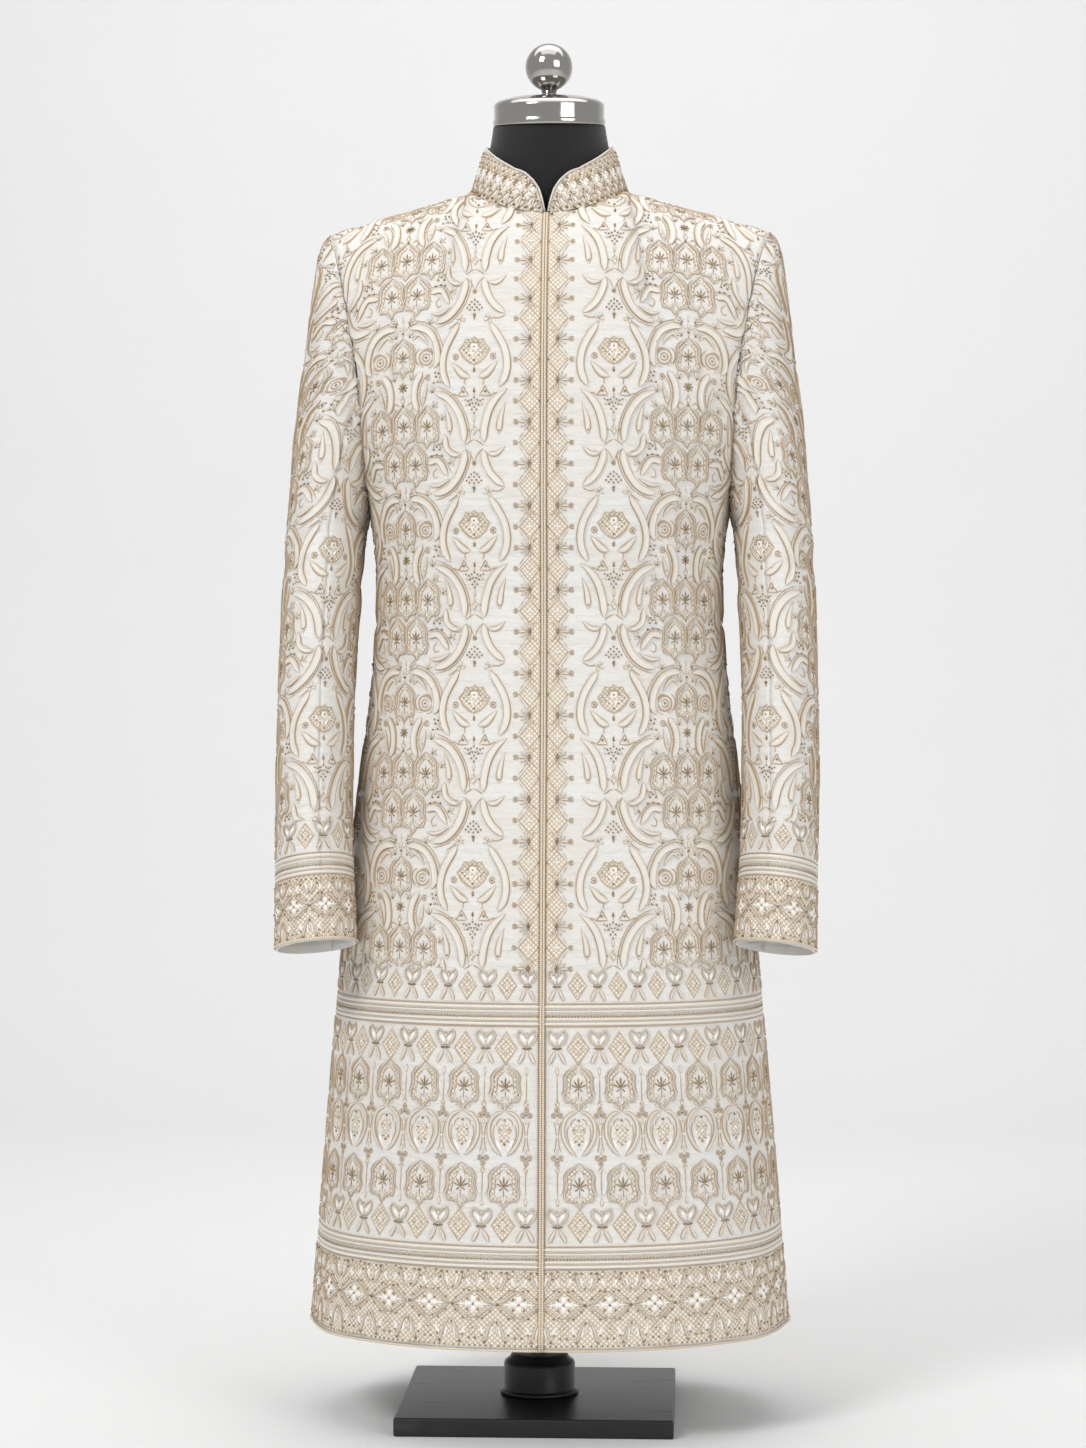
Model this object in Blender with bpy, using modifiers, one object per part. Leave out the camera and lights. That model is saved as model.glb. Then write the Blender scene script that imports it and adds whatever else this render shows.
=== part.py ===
"""A knee-length embroidered sherwani coat on a limbless dress form.

Metres, +Z up, the coat's front towards -Y. The origin is on the floor under the coat.
Every cloth piece is a wall with an outer and an inner side. Its outer side is a grid of
points worked out from the short tables of sections below.
"""

import math
from collections import namedtuple

import bpy
import numpy as np
from mathutils import Matrix

# Cloth
CLOTH_WALL = 0.002
SEAM_GAP = 0.0003
PIPING_RADIUS = 0.0011

# Coat body
HEM_HEIGHT = 0.093
UNDERARM_HEIGHT = 0.9025
BODY_SQUARENESS = 2.2
SHOULDER_FULLNESS = 0.78
SHOULDER_TIP_X = 0.2185
SHOULDER_TIP_HEIGHT = 1.1755
ARMHOLE_HALF_DEPTH = 0.064
ARMHOLE_BEND = 2.2
CHEST_PULL = 2
NECK_FRONT_TURN = 55
MITRE_LIMIT = 0.17

BodySection = namedtuple("BodySection", "height half_width front_depth back_depth")
BODY_SECTIONS = [
    BodySection(0.093, 0.2345, 0.180, 0.180),
    BodySection(0.230, 0.2250, 0.168, 0.170),
    BodySection(0.388, 0.2130, 0.157, 0.160),
    BodySection(0.510, 0.2025, 0.146, 0.151),
    BodySection(0.630, 0.1890, 0.133, 0.138),
    BodySection(0.720, 0.1780, 0.124, 0.127),
    BodySection(0.815, 0.1720, 0.121, 0.118),
    BodySection(0.865, 0.1745, 0.125, 0.119),
    BodySection(0.9025, 0.1795, 0.129, 0.122),
]

# Soft flutes of the skirt: each runs up from the hem and fades out at its top
Flute = namedtuple("Flute", "angle half_spread rise top")
FLUTES = [
    Flute(58, 17, 0.0030, 0.46),
    Flute(92, 13, 0.0040, 0.52),
    Flute(128, 16, 0.0045, 0.60),
    Flute(164, 12, 0.0030, 0.48),
]

# Woven bands laid round the skirt and the cuffs
BAND_RELIEF = 0.0007
BAND_EDGE = 0.001
SKIRT_BANDS = [(0.169, 0.192), (0.398, 0.420)]
CUFF_BAND = (0.9027, 0.9256)
CUFF_PIPING_RISE = 0.2

# Neckline and collar
NECK_HALF_WIDTH = 0.0785
NECK_HALF_DEPTH = 0.071
NECK_SIDE_HEIGHT = 1.214
NECK_BACK_RISE = 0.014
NECK_FRONT_DROP = 0.028
NECK_SHARE = 1 / 2
COLLAR_TOP_HALF_WIDTH = 0.0645
COLLAR_TOP_HALF_DEPTH = 0.0635
COLLAR_FULL_HEIGHT = 0.047

CollarEdge = namedtuple("CollarEdge", "angle height")
COLLAR_EDGES = [
    CollarEdge(0, 0.0440),
    CollarEdge(90, 0.0465),
    CollarEdge(125, 0.0410),
    CollarEdge(150, 0.0375),
    CollarEdge(163, 0.0345),
    CollarEdge(169.5, 0.0280),
    CollarEdge(174.5, 0.0170),
    CollarEdge(177.6, 0.0010),
]

# Sleeves: each section is a ring set by its outer and inner edge
SleeveSection = namedtuple(
    "SleeveSection", "station outer_x outer_z inner_x inner_z half_depth centre_y front_lift"
)
SLEEVE_SECTIONS = [
    SleeveSection(0.00, 0.2188, 1.1755, 0.1798, 0.9030, 0.0640, 0.000, 0.000),
    SleeveSection(0.05, 0.2265, 1.1665, 0.1806, 0.8985, 0.0660, 0.000, 0.000),
    SleeveSection(0.12, 0.2325, 1.1400, 0.1816, 0.8920, 0.0690, -0.001, 0.000),
    SleeveSection(0.25, 0.2410, 1.0700, 0.1836, 0.8790, 0.0715, -0.003, 0.000),
    SleeveSection(0.40, 0.2535, 0.9650, 0.1868, 0.8550, 0.0710, -0.010, 0.001),
    SleeveSection(0.55, 0.2610, 0.8500, 0.1900, 0.7950, 0.0680, -0.022, 0.003),
    SleeveSection(0.70, 0.2648, 0.7300, 0.1925, 0.7100, 0.0635, -0.043, 0.005),
    SleeveSection(0.85, 0.2645, 0.5950, 0.1915, 0.5960, 0.0565, -0.070, 0.007),
    SleeveSection(1.00, 0.2615, 0.4650, 0.1840, 0.4740, 0.0495, -0.100, 0.009),
]
SLEEVE_HEAD_END = 0.30

# Grid of the cloth walls
PANEL_COLUMNS = 12
CHEST_ROWS = 10
SLEEVE_COLUMNS = 2 * CHEST_ROWS
TOP_SLEEVE_SHARE = 0.6
SLEEVE_STATIONS = [
    0, 0.03, 0.07, 0.12, 0.18, 0.25, 0.33, 0.42, 0.51, 0.60, 0.70, 0.80,
    CUFF_BAND[0] - BAND_EDGE, CUFF_BAND[0] + BAND_EDGE,
    CUFF_BAND[1] - BAND_EDGE, CUFF_BAND[1] + BAND_EDGE, 1,
]
SKIRT_HEIGHTS = [
    HEM_HEIGHT,
    SKIRT_BANDS[0][0] - BAND_EDGE / 2, SKIRT_BANDS[0][0] + BAND_EDGE / 2,
    SKIRT_BANDS[0][1] - BAND_EDGE / 2, SKIRT_BANDS[0][1] + BAND_EDGE / 2,
    0.245, 0.320,
    SKIRT_BANDS[1][0] - BAND_EDGE / 2, SKIRT_BANDS[1][0] + BAND_EDGE / 2,
    SKIRT_BANDS[1][1] - BAND_EDGE / 2, SKIRT_BANDS[1][1] + BAND_EDGE / 2,
    0.480, 0.550, 0.630, 0.720, 0.800, 0.855, UNDERARM_HEIGHT,
]
COLLAR_ROWS = 4
NECK_STEP = 90 / (PANEL_COLUMNS * NECK_SHARE)
COLLAR_ANGLES = [
    0, 15, 30, 45, 60, 75, 90, 105, 120, 135, 150, 158, 165, 169.5, 172.5, 174.5, 176.3, 177.6,
]
BUTTON_RADIUS = 0.0017
BUTTON_ACROSS = 0.022
BUTTON_RISE = 0.98

# Dress form and its stand
TORSO_SEGMENTS = 28
TorsoSection = namedtuple("TorsoSection", "height half_width half_depth centre_y lean")
TORSO_SECTIONS = [
    TorsoSection(0.5000, 0.160, 0.108, 0.003, 0),
    TorsoSection(0.5060, 0.170, 0.118, 0.003, 0),
    TorsoSection(0.5600, 0.176, 0.123, 0.003, 0),
    TorsoSection(0.6300, 0.172, 0.118, 0.002, 0),
    TorsoSection(0.7200, 0.162, 0.109, 0.001, 0),
    TorsoSection(0.8150, 0.158, 0.105, 0.000, 0),
    TorsoSection(0.8800, 0.162, 0.109, -0.001, 0),
    TorsoSection(0.9500, 0.165, 0.110, -0.002, 0),
    TorsoSection(1.0200, 0.168, 0.104, -0.002, 0),
    TorsoSection(1.0750, 0.172, 0.090, -0.001, 0),
    TorsoSection(1.1150, 0.170, 0.072, 0.000, 0),
    TorsoSection(1.1450, 0.153, 0.056, 0.002, 0.02),
    TorsoSection(1.1680, 0.122, 0.052, 0.004, 0.05),
    TorsoSection(1.1860, 0.090, 0.054, 0.006, 0.10),
    TorsoSection(1.1980, 0.070, 0.062, 0.008, math.tan(math.radians(8))),
]
NECK_BASE = (0.0, 0.008, 1.1985)
NECK_TILT = math.radians(8)
NECK_DEPTH_RATIO = 0.95
NECK_PROFILE = [
    (0, 0.0850), (0.0558, 0.0850), (0.0578, 0.0720), (0.0604, 0.0580),
    (0.0632, 0.0320), (0.0668, 0.0080), (0.0668, 0.0010), (0, 0.0010),
]
CAP_PROFILE = [
    (0, 0.1172), (0.0160, 0.1166), (0.0360, 0.1142), (0.0500, 0.1105), (0.0548, 0.1070),
    (0.0552, 0.1050), (0.0552, 0.0920), (0.0562, 0.0905), (0.0562, 0.0870), (0.0555, 0.0854),
    (0, 0.0854),
]
BALL_CENTRE_RISE = 0.1430
BALL_RADIUS = 0.0236
BALL_STEM_RADIUS = 0.0075
BALL_STEM_FOOT = 0.1176
STAND_X = -0.010
PLATE_SIZE = (0.270, 0.256, 0.018)
PLATE_ROUNDING = 0.002
BOSS_PROFILE = [
    (0, 0.0400), (0.0240, 0.0400), (0.0285, 0.0385), (0.0300, 0.0355), (0.0345, 0.0325),
    (0.0355, 0.0300), (0.0355, 0.0050), (0.0385, 0.0045), (0.0390, 0.0030), (0.0390, 0.0003),
    (0, 0.0003),
]
ROD_RADIUS = 0.0080
TURNED_STEPS = 28
TURNED_MERGE = 0.00005

# Colours, with roughness and metallic value
IVORY_CLOTH = ((0.84, 0.80, 0.73, 1), 0.55, 0)
GOLD_PIPING = ((0.66, 0.55, 0.40, 1), 0.45, 0)
BLACK_COVER = ((0.012, 0.012, 0.014, 1), 0.75, 0)
BLACK_STEEL = ((0.015, 0.015, 0.016, 1), 0.40, 0)
BRIGHT_CHROME = ((0.80, 0.78, 0.75, 1), 0.08, 1)


def start_empty():
    """Remove the objects that a new scene holds and give the collection of the parts."""
    for item in list(bpy.data.objects):
        bpy.data.objects.remove(item, do_unlink=True)
    collection = bpy.data.collections.new("sherwani_coat_on_form")
    bpy.context.scene.collection.children.link(collection)
    return collection


def make_material(name, look):
    """Make a Principled material from a colour, a roughness and a metallic value."""
    colour, roughness, metallic = look
    material = bpy.data.materials.new(name)
    material.use_nodes = True
    shader = material.node_tree.nodes["Principled BSDF"]
    shader.inputs["Base Color"].default_value = colour
    shader.inputs["Roughness"].default_value = roughness
    shader.inputs["Metallic"].default_value = metallic
    return material


def add_object(name, data, look, collection):
    """Put a mesh or curve in the collection as a named object with its own material."""
    item = bpy.data.objects.new(name, data)
    collection.objects.link(item)
    data.materials.append(make_material(name, look))
    return item


def move_to(collection, item):
    """Move an object that a primitive made into the collection of the parts."""
    for holder in list(item.users_collection):
        holder.objects.unlink(item)
    collection.objects.link(item)


def smooth_value(table, key, column, at):
    """Read a column of a table anywhere between its rows, along a smooth curve."""
    keys = np.array([getattr(row, key) for row in table], dtype=float)
    values = np.array([getattr(row, column) for row in table], dtype=float)
    slopes = np.gradient(values, keys)
    at = np.clip(np.asarray(at, dtype=float), keys[0], keys[-1])
    left = np.clip(np.searchsorted(keys, at, side="right") - 1, 0, len(keys) - 2)
    span = keys[left + 1] - keys[left]
    share = (at - keys[left]) / span
    return (
        (2 * share**3 - 3 * share**2 + 1) * values[left]
        + (share**3 - 2 * share**2 + share) * span * slopes[left]
        + (3 * share**2 - 2 * share**3) * values[left + 1]
        + (share**3 - share**2) * span * slopes[left + 1]
    )


def flute_rise(angle, height):
    """Outward swing of the skirt's flutes at an angle in degrees from the front centre."""
    rise = np.zeros(np.broadcast(angle, height).shape)
    for flute in FLUTES:
        beside = np.clip((angle - flute.angle) / flute.half_spread, -1, 1)
        above = np.clip((flute.top - height) / (flute.top - HEM_HEIGHT), 0, 1)
        rise = rise + flute.rise * above**1.5 * np.cos(beside * math.pi / 2) ** 2
    return rise


def lower_body(face, across, height):
    """Point of the coat's body below the underarm, in the half towards +X.

    face is -1 for the front and 1 for the back; across runs from 0 at the centre to 1 at the side.
    """
    turn = across * math.pi / 2
    depth_column = "front_depth" if face < 0 else "back_depth"
    half_width = smooth_value(BODY_SECTIONS, "height", "half_width", height)
    half_depth = smooth_value(BODY_SECTIONS, "height", depth_column, height)
    power = 2 / BODY_SQUARENESS
    angle = 90 * across if face < 0 else 180 - 90 * across
    swing = 1 + flute_rise(angle, height) / half_width
    x = half_width * np.sin(turn) ** power * swing
    y = face * half_depth * np.abs(np.cos(turn)) ** power * swing
    return np.stack([x, y, np.broadcast_to(height, x.shape)], axis=-1)


def neckline(angle):
    """Point of the neckline at an angle in degrees from the back centre."""
    turn = np.radians(angle)
    back_or_front = np.where(np.cos(turn) > 0, NECK_BACK_RISE, -NECK_FRONT_DROP)
    return np.stack([
        NECK_HALF_WIDTH * np.sin(turn),
        NECK_HALF_DEPTH * np.cos(turn),
        NECK_SIDE_HEIGHT + back_or_front * np.cos(turn) ** 2,
    ], axis=-1)


def body_top(face, across):
    """Upper edge of a body panel: half the neckline, then the shoulder seam."""
    around = np.clip(across / NECK_SHARE, 0, 1)
    neck = neckline(180 - 90 * around if face < 0 else 90 * around)
    along = np.clip((across - NECK_SHARE) / (1 - NECK_SHARE), 0, 1)[..., None]
    shoulder_run = np.array([
        SHOULDER_TIP_X - NECK_HALF_WIDTH, 0, SHOULDER_TIP_HEIGHT - NECK_SIDE_HEIGHT,
    ])
    return neck + along * shoulder_run


def upper_body(face, across, rise):
    """Point of the coat's body between the underarm (rise 0) and the shoulder (rise 1)."""
    foot = lower_body(face, across, np.full(np.shape(across), UNDERARM_HEIGHT))
    top = body_top(face, across)
    near_neck = np.clip(across / NECK_SHARE, 0, 1)
    last_angle = NECK_FRONT_TURN + (90 - NECK_FRONT_TURN) * np.sin(near_neck * math.pi / 2)
    last_angle = np.radians(last_angle)
    angle = rise * last_angle
    chest_share = (np.sin(angle) / np.sin(last_angle)) ** SHOULDER_FULLNESS
    armhole_share = (1 - np.cos(rise * math.pi)) / 2
    pull = across**CHEST_PULL
    share = chest_share * (1 - pull) + armhole_share * pull
    inward = (np.cos(angle) - np.cos(last_angle)) / (1 - np.cos(last_angle))
    inward = np.clip(inward, 0, 1) ** SHOULDER_FULLNESS
    swing = ARMHOLE_HALF_DEPTH * np.sin(rise * math.pi) * across**2
    armhole_bow = (top[..., 0] - foot[..., 0]) * (share**ARMHOLE_BEND - share) * pull
    x = foot[..., 0] + (top[..., 0] - foot[..., 0]) * share + armhole_bow
    y = top[..., 1] + (foot[..., 1] - top[..., 1]) * inward + face * swing
    z = foot[..., 2] + (top[..., 2] - foot[..., 2]) * share
    return np.stack([x, y, z], axis=-1)


def sleeve_point(around, station):
    """Point of the sleeve towards +X at an angle in radians from its outer edge to the front."""
    values = {
        column: smooth_value(SLEEVE_SECTIONS, "station", column, station)
        for column in SleeveSection._fields[1:]
    }
    share = (1 + np.cos(around)) / 2
    x = values["inner_x"] + (values["outer_x"] - values["inner_x"]) * share
    y = values["centre_y"] - values["half_depth"] * np.sin(around)
    z = values["inner_z"] + (values["outer_z"] - values["inner_z"]) * share
    z = z + values["front_lift"] * np.sin(around)
    head = np.clip(1 - station / SLEEVE_HEAD_END, 0, 1) ** 2
    armhole_width = SHOULDER_TIP_X - BODY_SECTIONS[-1].half_width
    bow = armhole_width * (share**ARMHOLE_BEND - share) * head
    return np.stack([x + bow, y, z], axis=-1)


def grid_normals(grid):
    """Outward normal at each point of a grid, whose rows run up and columns run round."""
    down_up = np.gradient(grid, axis=0, edge_order=2)
    round_about = np.gradient(grid, axis=1, edge_order=2)
    normal = np.cross(round_about, down_up)
    return normal / np.linalg.norm(normal, axis=-1, keepdims=True)


def clear_seams(grid, rows=True):
    """Draw the side edges of a grid, and its top and bottom too, back by half a seam gap."""
    result = grid.copy()
    edges = [(np.s_[:, 0], np.s_[:, 1]), (np.s_[:, -1], np.s_[:, -2])]
    if rows:
        edges += [(np.s_[-1, :], np.s_[-2, :])]
    for edge, beside in edges:
        step = grid[beside] - grid[edge]
        length = np.linalg.norm(step, axis=-1, keepdims=True)
        result[edge] = result[edge] + step / length * SEAM_GAP / 2
    return result


def cloth_wall(name, grid, normals, relief, look, collection):
    """Make a closed wall from a grid of outer points, with relief on its outer side only."""
    rows, columns = grid.shape[:2]
    outer = grid + normals * relief[..., None]
    inner = grid - normals * CLOTH_WALL
    points = np.concatenate([outer.reshape(-1, 3), inner.reshape(-1, 3)])
    number = np.arange(rows * columns).reshape(rows, columns)
    far = number + rows * columns
    faces = []
    for row in range(rows - 1):
        for column in range(columns - 1):
            corners = [(row, column), (row, column + 1), (row + 1, column + 1), (row + 1, column)]
            faces.append([int(number[corner]) for corner in corners])
            faces.append([int(far[corner]) for corner in reversed(corners)])
    rim = (
        [(0, column) for column in range(columns)]
        + [(row, columns - 1) for row in range(1, rows)]
        + [(rows - 1, column) for column in range(columns - 2, -1, -1)]
        + [(row, 0) for row in range(rows - 2, 0, -1)]
    )
    for here, there in zip(rim, rim[1:] + rim[:1]):
        faces.append([int(number[there]), int(number[here]), int(far[here]), int(far[there])])
    mesh = bpy.data.meshes.new(name)
    mesh.from_pydata(points.tolist(), [], faces)
    mesh.shade_smooth()
    mesh.set_sharp_from_angle(angle=math.radians(50))
    return add_object(name, mesh, look, collection)


def mirrored(grid):
    """Points or normals of the piece on the other side, its columns turned to face out."""
    return (grid * np.array([-1, 1, 1]))[:, ::-1]


def cloth_pair(name, grid, normals, relief, collection):
    """Make the wearer's left piece from its grid, and the right piece as its mirror image."""
    cloth_wall(f"{name}_left", grid, normals, relief, IVORY_CLOTH, collection)
    cloth_wall(
        f"{name}_right", mirrored(grid), mirrored(normals), relief[:, ::-1], IVORY_CLOTH, collection
    )


def band_relief(levels, bands, edge):
    """Relief of the woven bands at each of a row of levels."""
    relief = np.zeros(len(levels))
    for low, high in bands:
        inside = (np.array(levels) > low + edge / 4) & (np.array(levels) < high - edge / 4)
        relief[inside] = BAND_RELIEF
    return relief


def panel_grid(face):
    """Outer points and normals of the body panel towards +X, from the centre to the side.

    A normal lies in the plane of the centre seam, of the side seam or of the shoulder seam
    there, so that the two pieces that meet at the seam have the same one.
    """
    across = np.linspace(0, 1, PANEL_COLUMNS + 1)
    skirt = [lower_body(face, across, np.full(across.shape, height)) for height in SKIRT_HEIGHTS]
    rises = np.arange(1, CHEST_ROWS + 1) / CHEST_ROWS
    chest = [upper_body(face, across, np.full(across.shape, rise)) for rise in rises]
    grid = np.stack(skirt + chest)
    normals = face * -grid_normals(grid)
    first_shoulder = round(PANEL_COLUMNS * NECK_SHARE)
    normals[:, 0, 0] = 0
    normals[: len(SKIRT_HEIGHTS), -1, 1] = 0
    normals[-1, first_shoulder:, 1] = 0
    return grid, normals / np.linalg.norm(normals, axis=-1, keepdims=True)


def mitred(own, other):
    """Wall direction at a seam between two walls, where their outward normals turn under 80 degrees.

    Beyond that the walls fold apart at the seam, and each keeps its own direction.
    """
    alike = np.sum(own * other, axis=-1, keepdims=True)
    return np.where(alike > MITRE_LIMIT, (own + other) / np.maximum(1 + alike, 1), own)


def panel_with_armhole(face):
    """Outer points and wall directions of a body panel, mitred against the sleeve."""
    grid, normals = panel_grid(face)
    around = -face * math.pi * (1 - np.arange(CHEST_ROWS + 1) / CHEST_ROWS)
    head = sleeve_point(around[None, :], np.array([0.02, 0.01, 0])[:, None])
    sleeve_normals = -face * grid_normals(head)[-1]
    armhole = np.s_[len(SKIRT_HEIGHTS) - 1:, -1]
    normals[armhole] = mitred(normals[armhole], sleeve_normals)
    if face > 0:
        return grid[:, ::-1], normals[:, ::-1]
    return grid, normals


def armhole_normals(around):
    """Normals of the body at its armhole, at angles in radians from the shoulder tip."""
    angles = (around + math.pi) % (2 * math.pi) - math.pi
    rows = np.rint((1 - np.abs(angles) / math.pi) * CHEST_ROWS).astype(int) - CHEST_ROWS - 1
    sides = {face: panel_grid(face)[1][:, -1] for face in (-1, 1)}
    return np.array([sides[-1 if angle >= 0 else 1][row] for angle, row in zip(angles, rows)])


def make_body(collection):
    """Cut the four body panels, two fronts and two backs."""
    for face, part in ((-1, "front"), (1, "back")):
        grid, normals = panel_with_armhole(face)
        skirt_relief = band_relief(SKIRT_HEIGHTS, SKIRT_BANDS, BAND_EDGE)
        relief = np.zeros(grid.shape[:2])
        relief[: len(SKIRT_HEIGHTS)] = skirt_relief[:, None]
        cloth_pair(f"coat_{part}", clear_seams(grid), normals, relief, collection)


def make_sleeves(collection):
    """Cut each sleeve in two, a top sleeve over the outer side and an under sleeve."""
    top_columns = round(SLEEVE_COLUMNS * TOP_SLEEVE_SHARE)
    step = 2 * math.pi / SLEEVE_COLUMNS
    first = -top_columns / 2
    pieces = {
        "top": (first, top_columns),
        "under": (first + top_columns, SLEEVE_COLUMNS - top_columns),
    }
    stations = np.array(SLEEVE_STATIONS)[::-1]
    for part, (start, columns) in pieces.items():
        around = np.linspace(start + columns, start, columns + 1) * step
        grid = sleeve_point(around[None, :], stations[:, None])
        relief = np.repeat(band_relief(stations, [CUFF_BAND], BAND_EDGE)[:, None], columns + 1, 1)
        normals = grid_normals(grid)
        normals[-1] = mitred(normals[-1], armhole_normals(around))
        cloth_pair(f"sleeve_{part}", clear_seams(grid, rows=False), normals, relief, collection)


def collar_point(angle, share):
    """Point of the collar at an angle in degrees from the back and a share of its full height.

    Its foot runs straight between the body's own columns, so the two edges meet all round.
    """
    turn = np.radians(angle)
    column = np.floor(angle / NECK_STEP)
    beyond = (angle / NECK_STEP - column)[..., None]
    foot = neckline(column * NECK_STEP) * (1 - beyond) + neckline((column + 1) * NECK_STEP) * beyond
    top = np.stack([
        COLLAR_TOP_HALF_WIDTH * np.sin(turn),
        COLLAR_TOP_HALF_DEPTH * np.cos(turn),
        foot[..., 2] + COLLAR_FULL_HEIGHT,
    ], axis=-1)
    return foot + (top - foot) * share[..., None]


def collar_grid():
    """Outer points of the collar from its left front corner round the back to the right one."""
    angles = np.array([-angle for angle in COLLAR_ANGLES[:0:-1]] + COLLAR_ANGLES)[::-1]
    heights = smooth_value(COLLAR_EDGES, "angle", "height", np.abs(angles))
    foot_gap = 2 * SEAM_GAP / COLLAR_FULL_HEIGHT
    shares = np.linspace(0, 1, COLLAR_ROWS + 1)[:, None]
    shares = foot_gap + shares * (heights / COLLAR_FULL_HEIGHT)[None, :]
    return collar_point(np.broadcast_to(angles, shares.shape), shares)


def make_collar(collection):
    """Cut the stand collar, one band with rounded front corners."""
    grid = collar_grid()
    relief = np.zeros(grid.shape[:2])
    cloth_wall("collar", grid, grid_normals(grid), relief, IVORY_CLOTH, collection)
    across = np.broadcast_to(BUTTON_ACROSS + np.arange(3) * SEAM_GAP, (3, 3))
    rises = np.broadcast_to((BUTTON_RISE + np.arange(3) * SEAM_GAP)[:, None], (3, 3))
    patch = upper_body(-1, across, rises)
    place = patch[0, 0] + grid_normals(patch)[0, 0] * (BUTTON_RADIUS + SEAM_GAP)
    bpy.ops.mesh.primitive_uv_sphere_add(
        segments=12, ring_count=8, radius=BUTTON_RADIUS, location=place.tolist()
    )
    button = bpy.context.object
    button.name = "collar_button"
    button.data.shade_smooth()
    button.data.materials.append(make_material("collar_button", GOLD_PIPING))
    move_to(collection, button)


def make_cord(name, points, radius, closed, look, collection):
    """Lay a round cord along a row of points."""
    curve = bpy.data.curves.new(name, "CURVE")
    curve.dimensions = "3D"
    curve.bevel_depth = radius
    curve.bevel_resolution = 1
    curve.use_fill_caps = not closed
    spline = curve.splines.new("POLY")
    spline.points.add(len(points) - 1)
    for place, point in zip(spline.points, points):
        place.co = (*(float(value) for value in point), 1)
    spline.use_cyclic_u = closed
    return add_object(name, curve, look, collection)


def make_piping(collection):
    """Lay the piping along the front edges, the hem, the cuffs and the collar's upper edge."""
    lift = PIPING_RADIUS + SEAM_GAP
    front, normals = panel_grid(-1)
    edge = front[:, 0] + normals[:, 0] * (lift + BAND_RELIEF)
    edge[:, 0] = PIPING_RADIUS + SEAM_GAP / 2
    last_run = edge[-2] - edge[-1]
    edge[-1] += last_run / np.linalg.norm(last_run) * 2 * PIPING_RADIUS
    hem_rows = {}
    for face in (-1, 1):
        grid, normals = panel_with_armhole(face)
        hem = grid[0] + normals[0] * lift
        hem[:, 2] = HEM_HEIGHT + PIPING_RADIUS
        hem_rows[face] = hem
    hem_loop = np.concatenate([hem_rows[-1][:-1], hem_rows[1]])
    hem_loop[0, 0] = 2 * PIPING_RADIUS + 2 * SEAM_GAP
    hem_loop[-1, 0] = SEAM_GAP
    around = np.arange(SLEEVE_COLUMNS) * 2 * math.pi / SLEEVE_COLUMNS
    rows = sleeve_point(around[None, :], np.array([1, 0.99])[:, None])
    across = np.roll(rows[0], -1, axis=0) - np.roll(rows[0], 1, axis=0)
    outward = np.cross(rows[1] - rows[0], across)
    outward /= np.linalg.norm(outward, axis=-1, keepdims=True)
    cuff = rows[0] + outward * lift + (rows[1] - rows[0]) * CUFF_PIPING_RISE
    for side, sign in (("left", 1), ("right", -1)):
        flip = np.array([sign, 1, 1])
        make_cord(f"front_piping_{side}", edge * flip, PIPING_RADIUS, False, GOLD_PIPING, collection)
        make_cord(f"hem_piping_{side}", hem_loop * flip, PIPING_RADIUS, False, GOLD_PIPING, collection)
        make_cord(f"cuff_piping_{side}", cuff * flip, PIPING_RADIUS, True, GOLD_PIPING, collection)
    grid = collar_grid()
    normals = grid_normals(grid)[-1]
    along = np.gradient(grid[-1], axis=0)
    off_edge = np.cross(normals, along / np.linalg.norm(along, axis=-1, keepdims=True))
    rim = grid[-1] - normals * CLOTH_WALL / 2 + off_edge * lift
    make_cord("collar_piping", rim, PIPING_RADIUS, False, IVORY_CLOTH, collection)


def make_turned(name, profile, look, collection, foot=0.0):
    """Turn a profile of radius and height, listed from its top centre down, about its axis."""
    mesh = bpy.data.meshes.new(name)
    points = [(radius, 0, height + foot) for radius, height in profile]
    mesh.from_pydata(points, [(i, i + 1) for i in range(len(points) - 1)], [])
    item = add_object(name, mesh, look, collection)
    turning = item.modifiers.new("turning", "SCREW")
    turning.steps = TURNED_STEPS
    turning.render_steps = TURNED_STEPS
    turning.use_merge_vertices = True
    turning.merge_threshold = TURNED_MERGE
    turning.use_smooth_shade = True
    return item


def make_torso(collection):
    """Loft the form's torso from its sections, closed at the hips and at the neck."""
    turns = np.arange(TORSO_SEGMENTS) * 2 * math.pi / TORSO_SEGMENTS
    power = 2 / BODY_SQUARENESS
    across = np.sign(np.sin(turns)) * np.abs(np.sin(turns)) ** power
    forward = -np.sign(np.cos(turns)) * np.abs(np.cos(turns)) ** power
    points = []
    for section in TORSO_SECTIONS:
        for x, y in zip(across, forward):
            points.append((
                float(section.half_width * x),
                float(section.centre_y + section.half_depth * y),
                float(section.height + section.half_depth * y * section.lean),
            ))
    count = TORSO_SEGMENTS
    faces = [list(range(count))[::-1]]
    for ring in range(len(TORSO_SECTIONS) - 1):
        low = ring * count
        for place in range(count):
            beside = (place + 1) % count
            faces.append([low + place, low + beside, low + count + beside, low + count + place])
    faces.append([(len(TORSO_SECTIONS) - 1) * count + place for place in range(count)])
    mesh = bpy.data.meshes.new("form_torso")
    mesh.from_pydata(points, [], faces)
    mesh.shade_smooth()
    mesh.set_sharp_from_angle(angle=math.radians(40))
    add_object("form_torso", mesh, BLACK_COVER, collection)


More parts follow.
